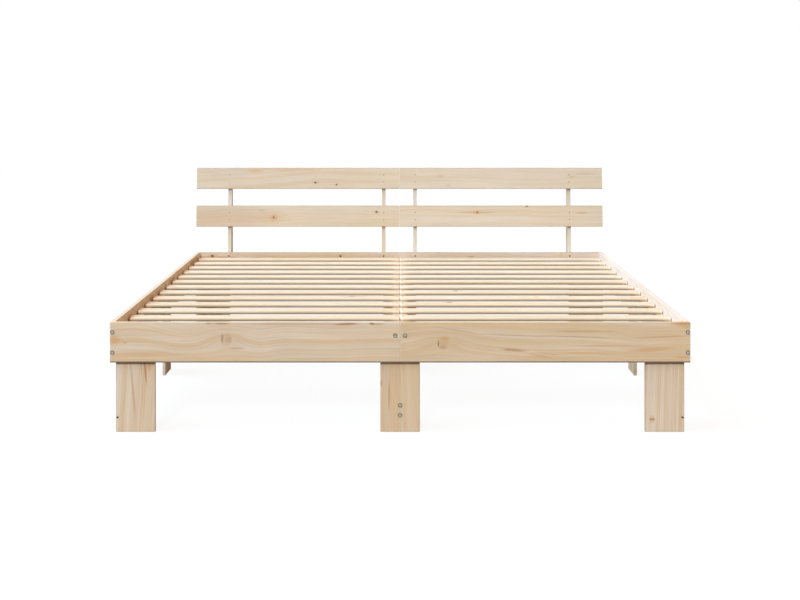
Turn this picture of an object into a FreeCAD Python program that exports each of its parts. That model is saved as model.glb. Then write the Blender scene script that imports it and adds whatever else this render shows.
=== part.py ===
"""Double bed frame in solid pine: boxed rails on board legs, a slatted base, a leaning headboard.

The frame is +Z up with the floor at zero, +X to the right seen from the foot, +Y towards the
headboard, and the origin on the floor under the middle of the whole part. Lengths are millimetres.
"""
import FreeCAD
import Part

import math
import os
from types import SimpleNamespace

import Sketcher
from FreeCAD import Placement, Rotation, Vector

# Driving dimensions: millimetres, with one angle in degrees and one count
SIZES = {
    # Rails
    "bed_width": 2055,
    "bed_length": 2055,
    "rail_height": 143,
    "rail_thickness": 18,
    "rail_rise": 250,
    "seam_gap": 0.4,
    "board_easing": 2,
    # Legs
    "leg_width": 140,
    "leg_thickness": 13,
    # Slatted base
    "slat_rows": 13,
    "slat_width": 60,
    "slat_thickness": 15,
    "slat_easing": 6,
    "slat_drop": 23,
    "slat_foot_margin": 63,
    "slat_head_margin": 25,
    "slat_side_gap": 2,
    "slat_seam_gap": 3,
    "bearer_height": 18,
    "ledger_width": 30,
    "beam_width": 60,
    # Headboard
    "headboard_overhang": 4,
    "headboard_height": 107,
    "headboard_thickness": 18,
    "headboard_rise": 128,
    "headboard_gap": 84.5,
    "headboard_lean": 5.5,
    "post_thickness": 18,
    "post_top_depth": 30,
    "post_top_drop": 10,
    "outer_post_inset": 164.5,
    "inner_post_offset": 80,
    # Bolts
    "bolt_diameter": 6,
    "bolt_reach": 42,
    "bolt_head_diameter": 15,
    "bolt_head_height": 2.5,
    "bolt_socket_flats": 4,
    "bolt_socket_depth": 1.8,
    "corner_bolt_spacing": 72,
    "rib_bolt_reach": 32,
    "rib_bolt_low": 60,
    "rib_bolt_spacing": 35,
    # Countersunk screws
    "screw_diameter": 4,
    "leg_joint_reach": 27,
    "leg_joint_low": 52,
    "slat_screw_inset": 10,
    "beam_screw_reach": 28,
    "headboard_screw_spacing": 36,
    "post_screw_reach": 27,
    "post_screw_inset": 18,
    # Fits
    "hole_clearance": 0.2,
}

# The most of a board's thickness that the rounding of its edges may take
EASING_LIMIT_SHARE = 0.4
# The least part of a drilling that has to lie in wood that no other drilling crosses
DRILLED_SHARE = 0.7
# How far a screw goes into a rail, a bearer and a post's top
RAIL_REACH_SHARE = 0.8
BEARER_REACH_SHARE = 0.65
POST_REACH_SHARE = 0.85
# Places of the leg screws across a leg's width and up the overlap of leg and rail
LEG_SCREW_WIDTH_SHARES = (0.36, 0.64)
LEG_SCREW_OVERLAP_SHARES = (0.25, 0.75)
# Places of the beam screws along the middle leg's rib, and of the beam bolts across the beam
BEAM_SCREW_RIB_SHARES = (0.4, 0.8)
BEAM_BOLT_SHARE = 0.29
# Parts of a bolt: its head's sloping rim, and its barrel nut against the shank and the thinnest wood
BOLT_RIM_SHARE = 0.6
NUT_DIAMETER_SHARE = 1.67
NUT_LENGTH_SHARE = 0.78
NUT_SETBACK_SHARE = 0.72
NUT_SLOT_SHARE = 0.15
# Parts of a screw: its head against the shank, and its cross recess against the head
SCREW_HEAD_SHARE = 2
CROSS_LENGTH_SHARE = 0.55
CROSS_WIDTH_SHARE = 0.14
CROSS_DEPTH_SHARE = 0.16

# Countersinks have a right-angled cone; ledger screws sit in every second gap between slats
QUARTER_TURN = 90
FULL_TURN = 360
GAPS_PER_LEDGER_SCREW = 2

SIDES = (("left", -1), ("right", 1))
AXIS_INDEX = {"X": 0, "Y": 1, "Z": 2}
# For each axis: the origin plane across it, the two axes in that plane, and the plane's normal
PLANES = {
    "X": ("YZ_Plane", (1, 2), 1),
    "Y": ("XZ_Plane", (0, 2), -1),
    "Z": ("XY_Plane", (0, 1), 1),
}
DIRECTIONS = {
    ("X", 1): Vector(1, 0, 0),
    ("X", -1): Vector(-1, 0, 0),
    ("Y", 1): Vector(0, 1, 0),
    ("Y", -1): Vector(0, -1, 0),
    ("Z", 1): Vector(0, 0, 1),
    ("Z", -1): Vector(0, 0, -1),
}


class Size:
    """A sheet value, or a sum of sheet values, that carries its expression and its number."""

    def __init__(self, text, value):
        self.text = text
        self.value = value

    @staticmethod
    def of(number):
        """The number itself as a Size, unless it is one already."""
        return number if isinstance(number, Size) else Size(repr(number), number)

    def __add__(self, other):
        other = Size.of(other)
        return Size(f"({self.text} + {other.text})", self.value + other.value)

    def __sub__(self, other):
        other = Size.of(other)
        return Size(f"({self.text} - {other.text})", self.value - other.value)

    def __mul__(self, other):
        other = Size.of(other)
        return Size(f"({self.text} * {other.text})", self.value * other.value)

    def __truediv__(self, other):
        other = Size.of(other)
        return Size(f"({self.text} / {other.text})", self.value / other.value)

    def __neg__(self):
        return Size(f"(-1 * {self.text})", -self.value)

    __radd__ = __add__
    __rmul__ = __mul__


def sine(angle):
    """Sine of an angle in degrees."""
    return Size(f"sin({angle.text})", math.sin(math.radians(angle.value)))


def cosine(angle):
    """Cosine of an angle in degrees."""
    return Size(f"cos({angle.text})", math.cos(math.radians(angle.value)))


def smaller(first, second):
    """The smaller of two sizes."""
    return Size(f"min({first.text}; {second.text})", min(first.value, second.value))


def mirrored(sign, near, far):
    """The lower X of a piece that lies between two distances from the bed's middle plane."""
    return near if sign > 0 else -far


doc = FreeCAD.newDocument("double_bed")
sheet = doc.addObject("Spreadsheet::Sheet", "Sizes")
for row, (alias, number) in enumerate(SIZES.items(), start=1):
    sheet.set(f"A{row}", alias)
    sheet.set(f"B{row}", str(number))
    sheet.setAlias(f"B{row}", alias)
doc.recompute()

dim = SimpleNamespace(**{alias: Size(f"Sizes.{alias}", number) for alias, number in SIZES.items()})
zero = Size.of(0)

# Heights
rail_top = dim.rail_rise + dim.rail_height
rail_middle = dim.rail_rise + dim.rail_height / 2
slat_top = rail_top - dim.slat_drop
slat_under = slat_top - dim.slat_thickness
leg_top = slat_under - dim.bearer_height
bearer_middle = slat_under - dim.bearer_height / 2
leg_overlap = leg_top - dim.rail_rise

# The headboard's slope starts at the top back edge of the head rail; places along it are distances
slope_out = sine(dim.headboard_lean)
slope_up = cosine(dim.headboard_lean)
lower_board = dim.headboard_rise
upper_board = lower_board + dim.headboard_height + dim.headboard_gap
slope_end = upper_board + dim.headboard_height - dim.post_top_drop
post_depth = dim.post_top_depth + slope_end * slope_out

# Places along and across the bed
half_width = dim.bed_width / 2
half_seam = dim.seam_gap / 2
whole_length = dim.bolt_head_height + dim.bed_length + post_depth
foot_face = dim.bolt_head_height - whole_length / 2
foot_inner = foot_face + dim.rail_thickness
head_face = foot_face + dim.bed_length
head_inner = head_face - dim.rail_thickness
middle = foot_face + dim.bed_length / 2
inner_length = dim.bed_length - 2 * dim.rail_thickness
side_inner = half_width - dim.rail_thickness
side_middle = half_width - dim.rail_thickness / 2
leg_inner = side_inner - dim.leg_thickness
ledger_inner = side_inner - dim.ledger_width
foot_leg_back = foot_inner + dim.leg_thickness
head_leg_front = head_inner - dim.leg_thickness
post_offsets = {"outer": half_width - dim.outer_post_inset, "inner": dim.inner_post_offset}
# The outer face of each centre leg and the direction in which its rib stands
centre_leg_faces = {
    "foot": (foot_inner, 1),
    "mid": (middle - dim.leg_thickness / 2, 1),
    "head": (head_inner, -1),
}

# Rows of slats
slat_count = int(dim.slat_rows.value)
slat_run = inner_length - dim.slat_foot_margin - dim.slat_head_margin - dim.slat_width
slat_pitch = slat_run / (dim.slat_rows - 1)
first_slat = foot_inner + dim.slat_foot_margin
slat_inner_end = dim.slat_seam_gap / 2
slat_outer_end = side_inner - dim.slat_side_gap
slat_middles = [first_slat + dim.slat_width / 2 + slat_pitch * row for row in range(slat_count)]

# Bolts, nuts and screws
bolt_hole = dim.bolt_diameter + 2 * dim.hole_clearance
nut_diameter = dim.bolt_diameter * NUT_DIAMETER_SHARE
nut_length = smaller(dim.rail_thickness, dim.bearer_height) * NUT_LENGTH_SHARE
nut_hole = nut_diameter + 2 * dim.hole_clearance
nut_setback = dim.bolt_reach * NUT_SETBACK_SHARE
nut_rows = (foot_inner + nut_setback, head_inner - nut_setback)
screw_head = dim.screw_diameter * SCREW_HEAD_SHARE
screw_head_height = (screw_head - dim.screw_diameter) / 2
screw_hole = dim.screw_diameter + 2 * dim.hole_clearance
screw_sink = screw_head + 2 * dim.hole_clearance
rail_reach = dim.rail_thickness * RAIL_REACH_SHARE
bearer_reach = dim.bearer_height * BEARER_REACH_SHARE
post_reach = dim.post_top_depth * POST_REACH_SHARE

# Places of bolts and screws that two pieces share
corner_bolt_heights = (rail_middle - dim.corner_bolt_spacing / 2, rail_middle + dim.corner_bolt_spacing / 2)
rib_bolt_heights = (dim.rib_bolt_low, dim.rib_bolt_low + dim.rib_bolt_spacing)
beam_bolt_side = dim.beam_width * BEAM_BOLT_SHARE
leg_joint_high = dim.rail_rise + leg_overlap / 2
leg_joint_heights = (dim.leg_joint_low, leg_joint_high)
leg_joint_side = side_inner - dim.leg_thickness / 2
leg_joint_row = head_inner - dim.leg_thickness / 2
leg_screw_heights = [dim.rail_rise + leg_overlap * share for share in LEG_SCREW_OVERLAP_SHARES]
leg_screw_steps = [dim.leg_width * share for share in LEG_SCREW_WIDTH_SHARES]
centre_leg_screw_side = leg_screw_steps[-1] - dim.leg_width / 2
side_board_starts = (foot_leg_back, middle - dim.leg_width / 2, head_inner - dim.leg_width)
side_board_screw_rows = [start + step for start in side_board_starts for step in leg_screw_steps]
beam_screw_rows = [middle + dim.leg_thickness / 2 + dim.leg_width * share for share in BEAM_SCREW_RIB_SHARES]
slat_screw_sides = (slat_inner_end + dim.slat_screw_inset, slat_outer_end - dim.slat_screw_inset)
ledger_screw_rows = [slat_middles[row] + slat_pitch / 2
                     for row in range(0, slat_count - 1, GAPS_PER_LEDGER_SCREW)]
headboard_screw_steps = (dim.headboard_height / 2 - dim.headboard_screw_spacing / 2,
                         dim.headboard_height / 2 + dim.headboard_screw_spacing / 2)
post_screw_heights = (leg_joint_high, rail_top - dim.post_screw_inset)

sub_parts = []
cuts = []


def bind(item, **sizes):
    """Bind properties of an object to sizes of the sheet."""
    for name, size in sizes.items():
        item.setExpression(name, size.text)


def place(item, x, y, z, rotation=None):
    """Bind an object's place to sizes of the sheet, with a fixed turn."""
    item.Placement = Placement(Vector(x.value, y.value, z.value), rotation or Rotation())
    item.setExpression("Placement.Base.x", x.text)
    item.setExpression("Placement.Base.y", y.text)
    item.setExpression("Placement.Base.z", z.text)


def sub_part(item, label):
    """Name an object as a sub-part of the bed."""
    item.Label = label
    sub_parts.append(item)
    return item


def sketch_on(body, role, name):
    """A new sketch on one of the body's origin planes."""
    plane = next(feature for feature in body.Origin.OriginFeatures if feature.Role == role)
    sketch = body.newObject("Sketcher::SketchObject", name)
    sketch.AttachmentSupport = (plane, [""])
    sketch.MapMode = "FlatFace"
    return sketch


def constrain(sketch, size, *terms):
    """Add a dimension to a sketch and bind it to a size of the sheet."""
    index = sketch.addConstraint(Sketcher.Constraint(*terms, size.value))
    sketch.setExpression(f"Constraints[{index}]", size.text)


def draw_outline(sketch, points):
    """Draw a closed outline of straight lines through points given as pairs of sizes."""
    corners = [Vector(x.value, y.value, 0) for x, y in points]
    count = len(points)
    for index in range(count):
        sketch.addGeometry(Part.LineSegment(corners[index], corners[(index + 1) % count]), False)
    for index in range(count):
        sketch.addConstraint(Sketcher.Constraint("Coincident", index, 2, (index + 1) % count, 1))
    for index, (x, y) in enumerate(points):
        if x.value == 0:
            sketch.addConstraint(Sketcher.Constraint("PointOnObject", index, 1, -2))
        else:
            constrain(sketch, x, "DistanceX", -1, 1, index, 1)
        if y.value == 0:
            sketch.addConstraint(Sketcher.Constraint("PointOnObject", index, 1, -1))
        else:
            constrain(sketch, y, "DistanceY", -1, 1, index, 1)


def draw_rectangle(sketch, width, height):
    """Draw a rectangle with one corner at the sketch's origin."""
    draw_outline(sketch, [(zero, zero), (width, zero), (width, height), (zero, height)])


def draw_centred_bar(sketch, length, width):
    """Draw a rectangle about the sketch's origin."""
    draw_outline(sketch, [(-length / 2, -width / 2), (length / 2, -width / 2),
                          (length / 2, width / 2), (-length / 2, width / 2)])


def draw_hexagon(sketch, flats):
    """Draw a regular hexagon about the sketch's origin, given its width across flats."""
    reach = flats / (2 * cosine(Size.of(QUARTER_TURN / 3)))
    points = []
    for index in range(6):
        angle = Size.of(QUARTER_TURN * 2 / 3 * index + QUARTER_TURN / 3)
        points.append((reach * cosine(angle), reach * sine(angle)))
    draw_outline(sketch, points)


def draw_circles(sketch, points, diameter):
    """Draw equal circles about points given as pairs of sizes."""
    for index, (x, y) in enumerate(points):
        centre = Vector(x.value, y.value, 0)
        sketch.addGeometry(Part.Circle(centre, Vector(0, 0, 1), diameter.value / 2), False)
        constrain(sketch, x, "DistanceX", -1, 1, index, 3)
        constrain(sketch, y, "DistanceY", -1, 1, index, 3)
        if index == 0:
            constrain(sketch, diameter, "Diameter", index)
        else:
            sketch.addConstraint(Sketcher.Constraint("Equal", 0, index))


def pocket(body, sketch, depth, reverse, area):
    """Cut a sketch into the body, and note the volume that it has to take away."""
    feature = body.newObject("PartDesign::Pocket", f"{sketch.Name}_cut")
    feature.Profile = sketch
    feature.Reversed = reverse
    bind(feature, Length=depth)
    cuts.append((feature, area * depth.value))
    return feature


def ease(body, base, easing):
    """Round all edges of the body's blank."""
    feature = body.newObject("PartDesign::Fillet", f"{body.Name}_easing")
    feature.Base = (base, ["Edge1"])
    feature.UseAllEdges = True
    bind(feature, Radius=easing)


class Board:
    """A planed board with eased edges that lies square to the frame, and its drillings."""

    def __init__(self, label, corner, size, along, easing):
        self.datum = corner
        self.body = doc.addObject("PartDesign::Body", label)
        role, across, normal = PLANES[along]
        section = sketch_on(self.body, role, f"{label}_section")
        draw_rectangle(section, size[across[0]], size[across[1]])
        pad = self.body.newObject("PartDesign::Pad", f"{label}_blank")
        pad.Profile = section
        pad.Reversed = normal < 0
        bind(pad, Length=size[AXIS_INDEX[along]])
        thickness = smaller(smaller(size[0], size[1]), size[2])
        ease(self.body, pad, smaller(easing, thickness * EASING_LIMIT_SHARE))
        place(self.body, *corner)

    def drill_sketch(self, axis, points, entry, diameter):
        """A sketch of circles on the plane where drillings along an axis start."""
        role, across, normal = PLANES[axis]
        sketch = sketch_on(self.body, role, f"{self.body.Name}_drilling")
        offset = (entry - self.datum[AXIS_INDEX[axis]]) * normal
        sketch.setExpression("AttachmentOffset.Base.z", offset.text)
        first, second = across
        local = [(u - self.datum[first], v - self.datum[second]) for u, v in points]
        draw_circles(sketch, local, diameter)
        return sketch

    def bore(self, axis, direction, points, entry, diameter, depth):
        """Drill plain holes of a set depth from an entry plane along an axis."""
        sketch = self.drill_sketch(axis, points, entry, diameter)
        area = len(points) * math.pi * diameter.value ** 2 / 4
        pocket(self.body, sketch, depth, PLANES[axis][2] == direction, area)

    def pilot(self, axis, direction, points, entry, reach):
        """Drill blind holes that hold the ends of screws."""
        self.bore(axis, direction, points, entry, screw_hole, reach + dim.hole_clearance)

    def countersink(self, axis, direction, points, entry, depth):
        """Drill screw holes through the board, with countersinks at the entry plane."""
        sketch = self.drill_sketch(axis, points, entry, screw_hole)
        doc.recompute()
        hole = self.body.newObject("PartDesign::Hole", f"{sketch.Name}_hole")
        hole.Profile = sketch
        hole.DepthType = "ThroughAll"
        hole.ThreadType = "None"
        hole.HoleCutType = "Countersink"
        hole.HoleCutCustomValues = True
        hole.HoleCutCountersinkAngle = QUARTER_TURN
        hole.Reversed = PLANES[axis][2] == direction
        bind(hole, Diameter=screw_hole, HoleCutDiameter=screw_sink)
        area = len(points) * math.pi * screw_hole.value ** 2 / 4
        cuts.append((hole, area * depth.value))


def grid(first, second):
    """Every pair of a first and a second place."""
    return [(u, v) for u in first for v in second]


def across_places(sign, outer):
    """Places of the screws across a leg board that lies across the bed, given its outer edge."""
    return [(outer - step) * sign for step in leg_screw_steps]


def board(label, corner, size, along):
    """A board that is a sub-part of the bed."""
    piece = Board(label, corner, size, along, dim.board_easing)
    sub_part(piece.body, label)
    return piece


def end_rail(end, outer, inner, inward, side, sign):
    """One half of the foot or head rail, drilled for its bolts and its legs' screws."""
    corner = (mirrored(sign, half_seam, half_width), outer if inward > 0 else inner, dim.rail_rise)
    size = (half_width - half_seam, dim.rail_thickness, dim.rail_height)
    rail = board(f"{end}_rail_{side}", corner, size, "X")
    bolts = grid([side_middle * sign], corner_bolt_heights)
    bolts.append((beam_bolt_side * sign, bearer_middle))
    rail.bore("Y", inward, bolts, outer, bolt_hole, dim.rail_thickness)
    screw_places = across_places(sign, side_inner if end == "foot" else leg_inner)
    screw_places.append(centre_leg_screw_side * sign)
    rail.pilot("Y", -inward, grid(screw_places, leg_screw_heights), inner, rail_reach)
    if end == "head":
        posts = grid([offset * sign for offset in post_offsets.values()], post_screw_heights)
        rail.countersink("Y", 1, posts, inner, dim.rail_thickness)


def side_rail(side, sign):
    """A side rail, drilled for the corner bolts and their nuts, its legs and its ledger."""
    corner = (mirrored(sign, side_inner, half_width), foot_inner, dim.rail_rise)
    rail = board(f"side_rail_{side}", corner, (dim.rail_thickness, inner_length, dim.rail_height), "Y")
    inner_face = side_inner * sign
    bolts = grid([side_middle * sign], corner_bolt_heights)
    bolt_depth = dim.bolt_reach + dim.hole_clearance
    rail.bore("Y", 1, bolts, foot_inner, bolt_hole, bolt_depth)
    rail.bore("Y", -1, bolts, head_inner, bolt_hole, bolt_depth)
    nut_depth = (dim.rail_thickness + nut_length) / 2 + dim.hole_clearance
    rail.bore("X", sign, grid(nut_rows, corner_bolt_heights), inner_face, nut_hole, nut_depth)
    rail.pilot("X", sign, grid(side_board_screw_rows, leg_screw_heights), inner_face, rail_reach)
    rail.pilot("X", sign, grid(ledger_screw_rows, [bearer_middle]), inner_face, rail_reach)


def cross_leg(label, left, front):
    """An upright leg board that lies across the bed."""
    return board(label, (left, front, zero), (dim.leg_width, dim.leg_thickness, leg_top), "Z")


def long_leg(label, left, front):
    """An upright leg board that lies along the bed."""
    return board(label, (left, front, zero), (dim.leg_thickness, dim.leg_width, leg_top), "Z")


def side_board(label, sign, front):
    """A leg board that lies along a side rail and is screwed to it."""
    leg = long_leg(label, mirrored(sign, leg_inner, side_inner), front)
    screws = grid([front + step for step in leg_screw_steps], leg_screw_heights)
    leg.countersink("X", sign, screws, leg_inner * sign, dim.leg_thickness)
    return leg


def end_board(label, sign, outer, front, wood_side):
    """A leg board that lies along an end rail and is screwed to it, towards the rail's side."""
    leg = cross_leg(label, mirrored(sign, outer - dim.leg_width, outer), front)
    entry = front if wood_side > 0 else front + dim.leg_thickness
    screws = grid(across_places(sign, outer), leg_screw_heights)
    leg.countersink("Y", wood_side, screws, entry, dim.leg_thickness)
    return leg


def foot_corner_leg(side, sign):
    """The L section leg at a foot corner: the face board covers the return board's edge."""
    face = end_board(f"foot_{side}_leg_face", sign, side_inner, foot_inner, -1)
    joint = grid([leg_joint_side * sign], leg_joint_heights)
    face.countersink("Y", 1, joint, foot_inner, dim.leg_thickness)
    back = side_board(f"foot_{side}_leg_return", sign, foot_leg_back)
    back.pilot("Y", 1, joint, foot_leg_back, dim.leg_joint_reach)


def head_corner_leg(side, sign):
    """The L section leg at a head corner: here the face board lies along the side rail."""
    face = side_board(f"head_{side}_leg_face", sign, head_inner - dim.leg_width)
    joint = grid([leg_joint_row], leg_joint_heights)
    face.countersink("X", -sign, joint, side_inner * sign, dim.leg_thickness)
    back = end_board(f"head_{side}_leg_return", sign, leg_inner, head_leg_front, 1)
    back.pilot("X", -sign, joint, leg_inner * sign, dim.leg_joint_reach)


def centre_leg(end, outer, inward):
    """The T section leg under the beam: a face board and a rib behind it, on the inward side."""
    inner = outer + dim.leg_thickness * inward
    face = cross_leg(f"{end}_centre_leg_face", -dim.leg_width / 2, outer if inward > 0 else inner)
    bolts = grid([zero], rib_bolt_heights)
    joint = grid([zero], [leg_joint_high])
    face.bore("Y", inward, bolts, outer, bolt_hole, dim.leg_thickness)
    face.countersink("Y", inward, joint, outer, dim.leg_thickness)
    rib_front = inner if inward > 0 else inner - dim.leg_width
    rib = long_leg(f"{end}_centre_leg_rib", -dim.leg_thickness / 2, rib_front)
    rib.bore("Y", inward, bolts, inner, bolt_hole, dim.rib_bolt_reach + dim.hole_clearance)
    rib.pilot("Y", inward, joint, inner, dim.leg_joint_reach)
    if end == "mid":
        rib.pilot("Z", -1, grid([zero], beam_screw_rows), leg_top, dim.beam_screw_reach)
    else:
        screws = grid([-centre_leg_screw_side, centre_leg_screw_side], leg_screw_heights)
        face.countersink("Y", -inward, screws, inner, dim.leg_thickness)


def centre_beam():
    """The bearer under the slats' seam, bolted to both end rails and screwed to the middle leg."""
    corner = (-dim.beam_width / 2, foot_inner, leg_top)
    beam = board("centre_beam", corner, (dim.beam_width, inner_length, dim.bearer_height), "Y")
    bolt_sides = (-beam_bolt_side, beam_bolt_side)
    bolt_depth = dim.bolt_reach + dim.hole_clearance
    bolts = grid(bolt_sides, [bearer_middle])
    beam.bore("Y", 1, bolts, foot_inner, bolt_hole, bolt_depth)
    beam.bore("Y", -1, bolts, head_inner, bolt_hole, bolt_depth)
    nut_depth = (dim.bearer_height + nut_length) / 2 + dim.hole_clearance
    beam.bore("Z", 1, grid(bolt_sides, nut_rows), leg_top, nut_hole, nut_depth)
    slat_sides = (-slat_screw_sides[0], slat_screw_sides[0])
    beam.pilot("Z", -1, grid(slat_sides, slat_middles), slat_under, bearer_reach)
    beam.countersink("Z", -1, grid([zero], beam_screw_rows), slat_under, dim.bearer_height)


def slat_ledger(side, sign):
    """The strip along a side rail that carries the slats' outer ends."""
    corner = (mirrored(sign, ledger_inner, side_inner), foot_inner, leg_top)
    ledger = board(f"slat_ledger_{side}", corner, (dim.ledger_width, inner_length, dim.bearer_height), "Y")
    ledger.pilot("Z", -1, grid([slat_screw_sides[1] * sign], slat_middles), slat_under, bearer_reach)
    screws = grid(ledger_screw_rows, [bearer_middle])
    ledger.countersink("X", sign, screws, ledger_inner * sign, dim.ledger_width)


def slats():
    """Rows of a left and a right slat, every row a copy of the first pair."""
    patterns = []
    for side, sign in SIDES:
        corner = (mirrored(sign, slat_inner_end, slat_outer_end), first_slat, slat_under)
        size = (slat_outer_end - slat_inner_end, dim.slat_width, dim.slat_thickness)
        slat = Board(f"slat_{side}", corner, size, "X", dim.slat_easing)
        screws = grid([place_across * sign for place_across in slat_screw_sides], [slat_middles[0]])
        slat.countersink("Z", -1, screws, slat_top, dim.slat_thickness)
        patterns.append((slat.body, corner))
    for row in range(slat_count):
        label = f"slat_row_{row + 1:02d}"
        copies = []
        for body, (x, y, z) in patterns:
            copy = doc.addObject("App::Link", f"{label}_copy")
            copy.LinkedObject = body
            place(copy, x, y + slat_pitch * row, z)
            copies.append(copy)
        pair = doc.addObject("Part::Compound", label)
        pair.Links = copies
        sub_part(pair, label)


def headboard_board(name, start, side, sign):
    """One half of a headboard board, leaning back on the posts' slope."""
    left = mirrored(sign, half_seam, half_width + dim.headboard_overhang)
    size = (half_width + dim.headboard_overhang - half_seam, dim.headboard_thickness, dim.headboard_height)
    piece = board(f"headboard_{name}_{side}", (left, zero, zero), size, "X")
    screws = grid([offset * sign for offset in post_offsets.values()], headboard_screw_steps)
    piece.countersink("Y", 1, screws, zero, dim.headboard_thickness)
    front = head_face + start * slope_out - dim.headboard_thickness * slope_up
    low = rail_top + start * slope_up + dim.headboard_thickness * slope_out
    place(piece.body, left, front, low, Rotation(Vector(-1, 0, 0), dim.headboard_lean.value))
    piece.body.setExpression("Placement.Rotation.Angle", dim.headboard_lean.text)


def headboard_post(name, offset, side, sign):
    """A post behind the head rail, upright to the rail's top and sloping back above it."""
    label = f"headboard_post_{name}_{side}"
    body = sub_part(doc.addObject("PartDesign::Body", label), label)
    top_out = slope_end * slope_out
    top_up = dim.rail_height + slope_end * slope_up
    outline = sketch_on(body, "YZ_Plane", f"{label}_outline")
    draw_outline(outline, [(zero, zero), (post_depth, zero), (post_depth, top_up),
                           (top_out, top_up), (zero, dim.rail_height)])
    pad = body.newObject("PartDesign::Pad", f"{label}_blank")
    pad.Profile = outline
    bind(pad, Length=dim.post_thickness)
    area = math.pi * screw_hole.value ** 2 / 4
    half = dim.post_thickness / 2
    rail_holes = sketch_on(body, "XZ_Plane", f"{label}_rail_drilling")
    places = [(half, height - dim.rail_rise) for height in post_screw_heights]
    draw_circles(rail_holes, places, screw_hole)
    pocket(body, rail_holes, dim.post_screw_reach + dim.hole_clearance, False, area * len(places))
    slope_holes = sketch_on(body, "XZ_Plane", f"{label}_slope_drilling")
    slope_holes.AttachmentOffset = Placement(Vector(), Rotation(Vector(-1, 0, 0), dim.headboard_lean.value))
    slope_holes.setExpression("AttachmentOffset.Base.y", dim.rail_height.text)
    slope_holes.setExpression("AttachmentOffset.Rotation.Angle", dim.headboard_lean.text)
    starts = (lower_board, upper_board)
    places = [(half, start + step) for start in starts for step in headboard_screw_steps]
    draw_circles(slope_holes, places, screw_hole)
    pocket(body, slope_holes, post_reach + dim.hole_clearance, False, area * len(places))
    place(body, offset * sign - half, head_face, dim.rail_rise)


def turned(label, profile):
    """A round solid about Z from a half section given as pairs of radius and height."""
    body = doc.addObject("PartDesign::Body", label)
    section = sketch_on(body, "XZ_Plane", f"{label}_profile")
    draw_outline(section, profile)
    solid = body.newObject("PartDesign::Revolution", f"{label}_turned")
    solid.Profile = section
    solid.ReferenceAxis = (section, ["V_Axis"])
    solid.Angle = FULL_TURN
    return body


def bolt(label, length):
    """A flat bolt with a sloping rim and a hex socket, its head's top at zero and its end at +Z."""
    head = dim.bolt_head_diameter / 2
    shank = dim.bolt_diameter / 2
    rim = dim.bolt_head_height * BOLT_RIM_SHARE
    end = dim.bolt_head_height + length
    body = turned(label, [(zero, zero), (head - rim, zero), (head, rim), (head, dim.bolt_head_height),
                          (shank, dim.bolt_head_height), (shank, end), (zero, end)])
    socket = sketch_on(body, "XY_Plane", f"{label}_socket")
    draw_hexagon(socket, dim.bolt_socket_flats)
    area = dim.bolt_socket_flats.value ** 2 * math.sin(math.radians(QUARTER_TURN * 2 / 3))
    pocket(body, socket, dim.bolt_socket_depth, True, area)
    return body


def screw(label, length):
    """A countersunk screw with a cross recess, its head's top at zero and its point at +Z."""
    head = screw_head / 2
    shank = dim.screw_diameter / 2
    body = turned(label, [(zero, zero), (head, zero), (shank, screw_head_height),
                          (shank, length - dim.screw_diameter), (zero, length)])
    long_side = screw_head * CROSS_LENGTH_SHARE
    short_side = screw_head * CROSS_WIDTH_SHARE
    area = long_side.value * short_side.value
    for index, (wide, deep) in enumerate(((long_side, short_side), (short_side, long_side))):
        recess = sketch_on(body, "XY_Plane", f"{label}_cross")
        draw_centred_bar(recess, wide, deep)
        overlap = short_side.value ** 2 * index
        pocket(body, recess, screw_head * CROSS_DEPTH_SHARE, True, area - overlap)
    return body


def barrel_nut(label):
    """A cross nut along Z with a hole for its bolt along Y and a slot in its near end."""
    radius = nut_diameter / 2
    body = turned(label, [(zero, zero), (radius, zero), (radius, nut_length), (zero, nut_length)])
    slot_size = nut_diameter * NUT_SLOT_SHARE
    slot = sketch_on(body, "XY_Plane", f"{label}_slot")
    draw_centred_bar(slot, nut_diameter, slot_size)
    pocket(body, slot, slot_size, True, slot_size.value * nut_diameter.value)
    bore = sketch_on(body, "XZ_Plane", f"{label}_bore")
    draw_circles(bore, [(zero, nut_length / 2)], bolt_hole)
    cut = pocket(body, bore, nut_diameter, False, math.pi * bolt_hole.value ** 2 / 4)
    cut.Midplane = True
    return body


def group(label, pattern, places):
    """Copies of one fastener as a single sub-part; a place is x, y, z and a turn."""
    copies = []
    for x, y, z, rotation in places:
        copy = doc.addObject("App::Link", f"{label}_copy")
        copy.LinkedObject = pattern
        place(copy, x, y, z, rotation)
        copies.append(copy)
    cluster = doc.addObject("Part::Compound", label)
    cluster.Links = copies
    return sub_part(cluster, label)


def towards(axis, sign):
    """The turn that points a fastener along an axis of the frame."""
    return Rotation(Vector(0, 0, 1), DIRECTIONS[(axis, sign)])


def end_bolt_places(x, z):
    """A bolt through the foot rail and one through the head rail, at one X and height."""
    return [(x, foot_face - dim.bolt_head_height, z, towards("Y", 1)),
            (x, head_face + dim.bolt_head_height, z, towards("Y", -1))]


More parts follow.
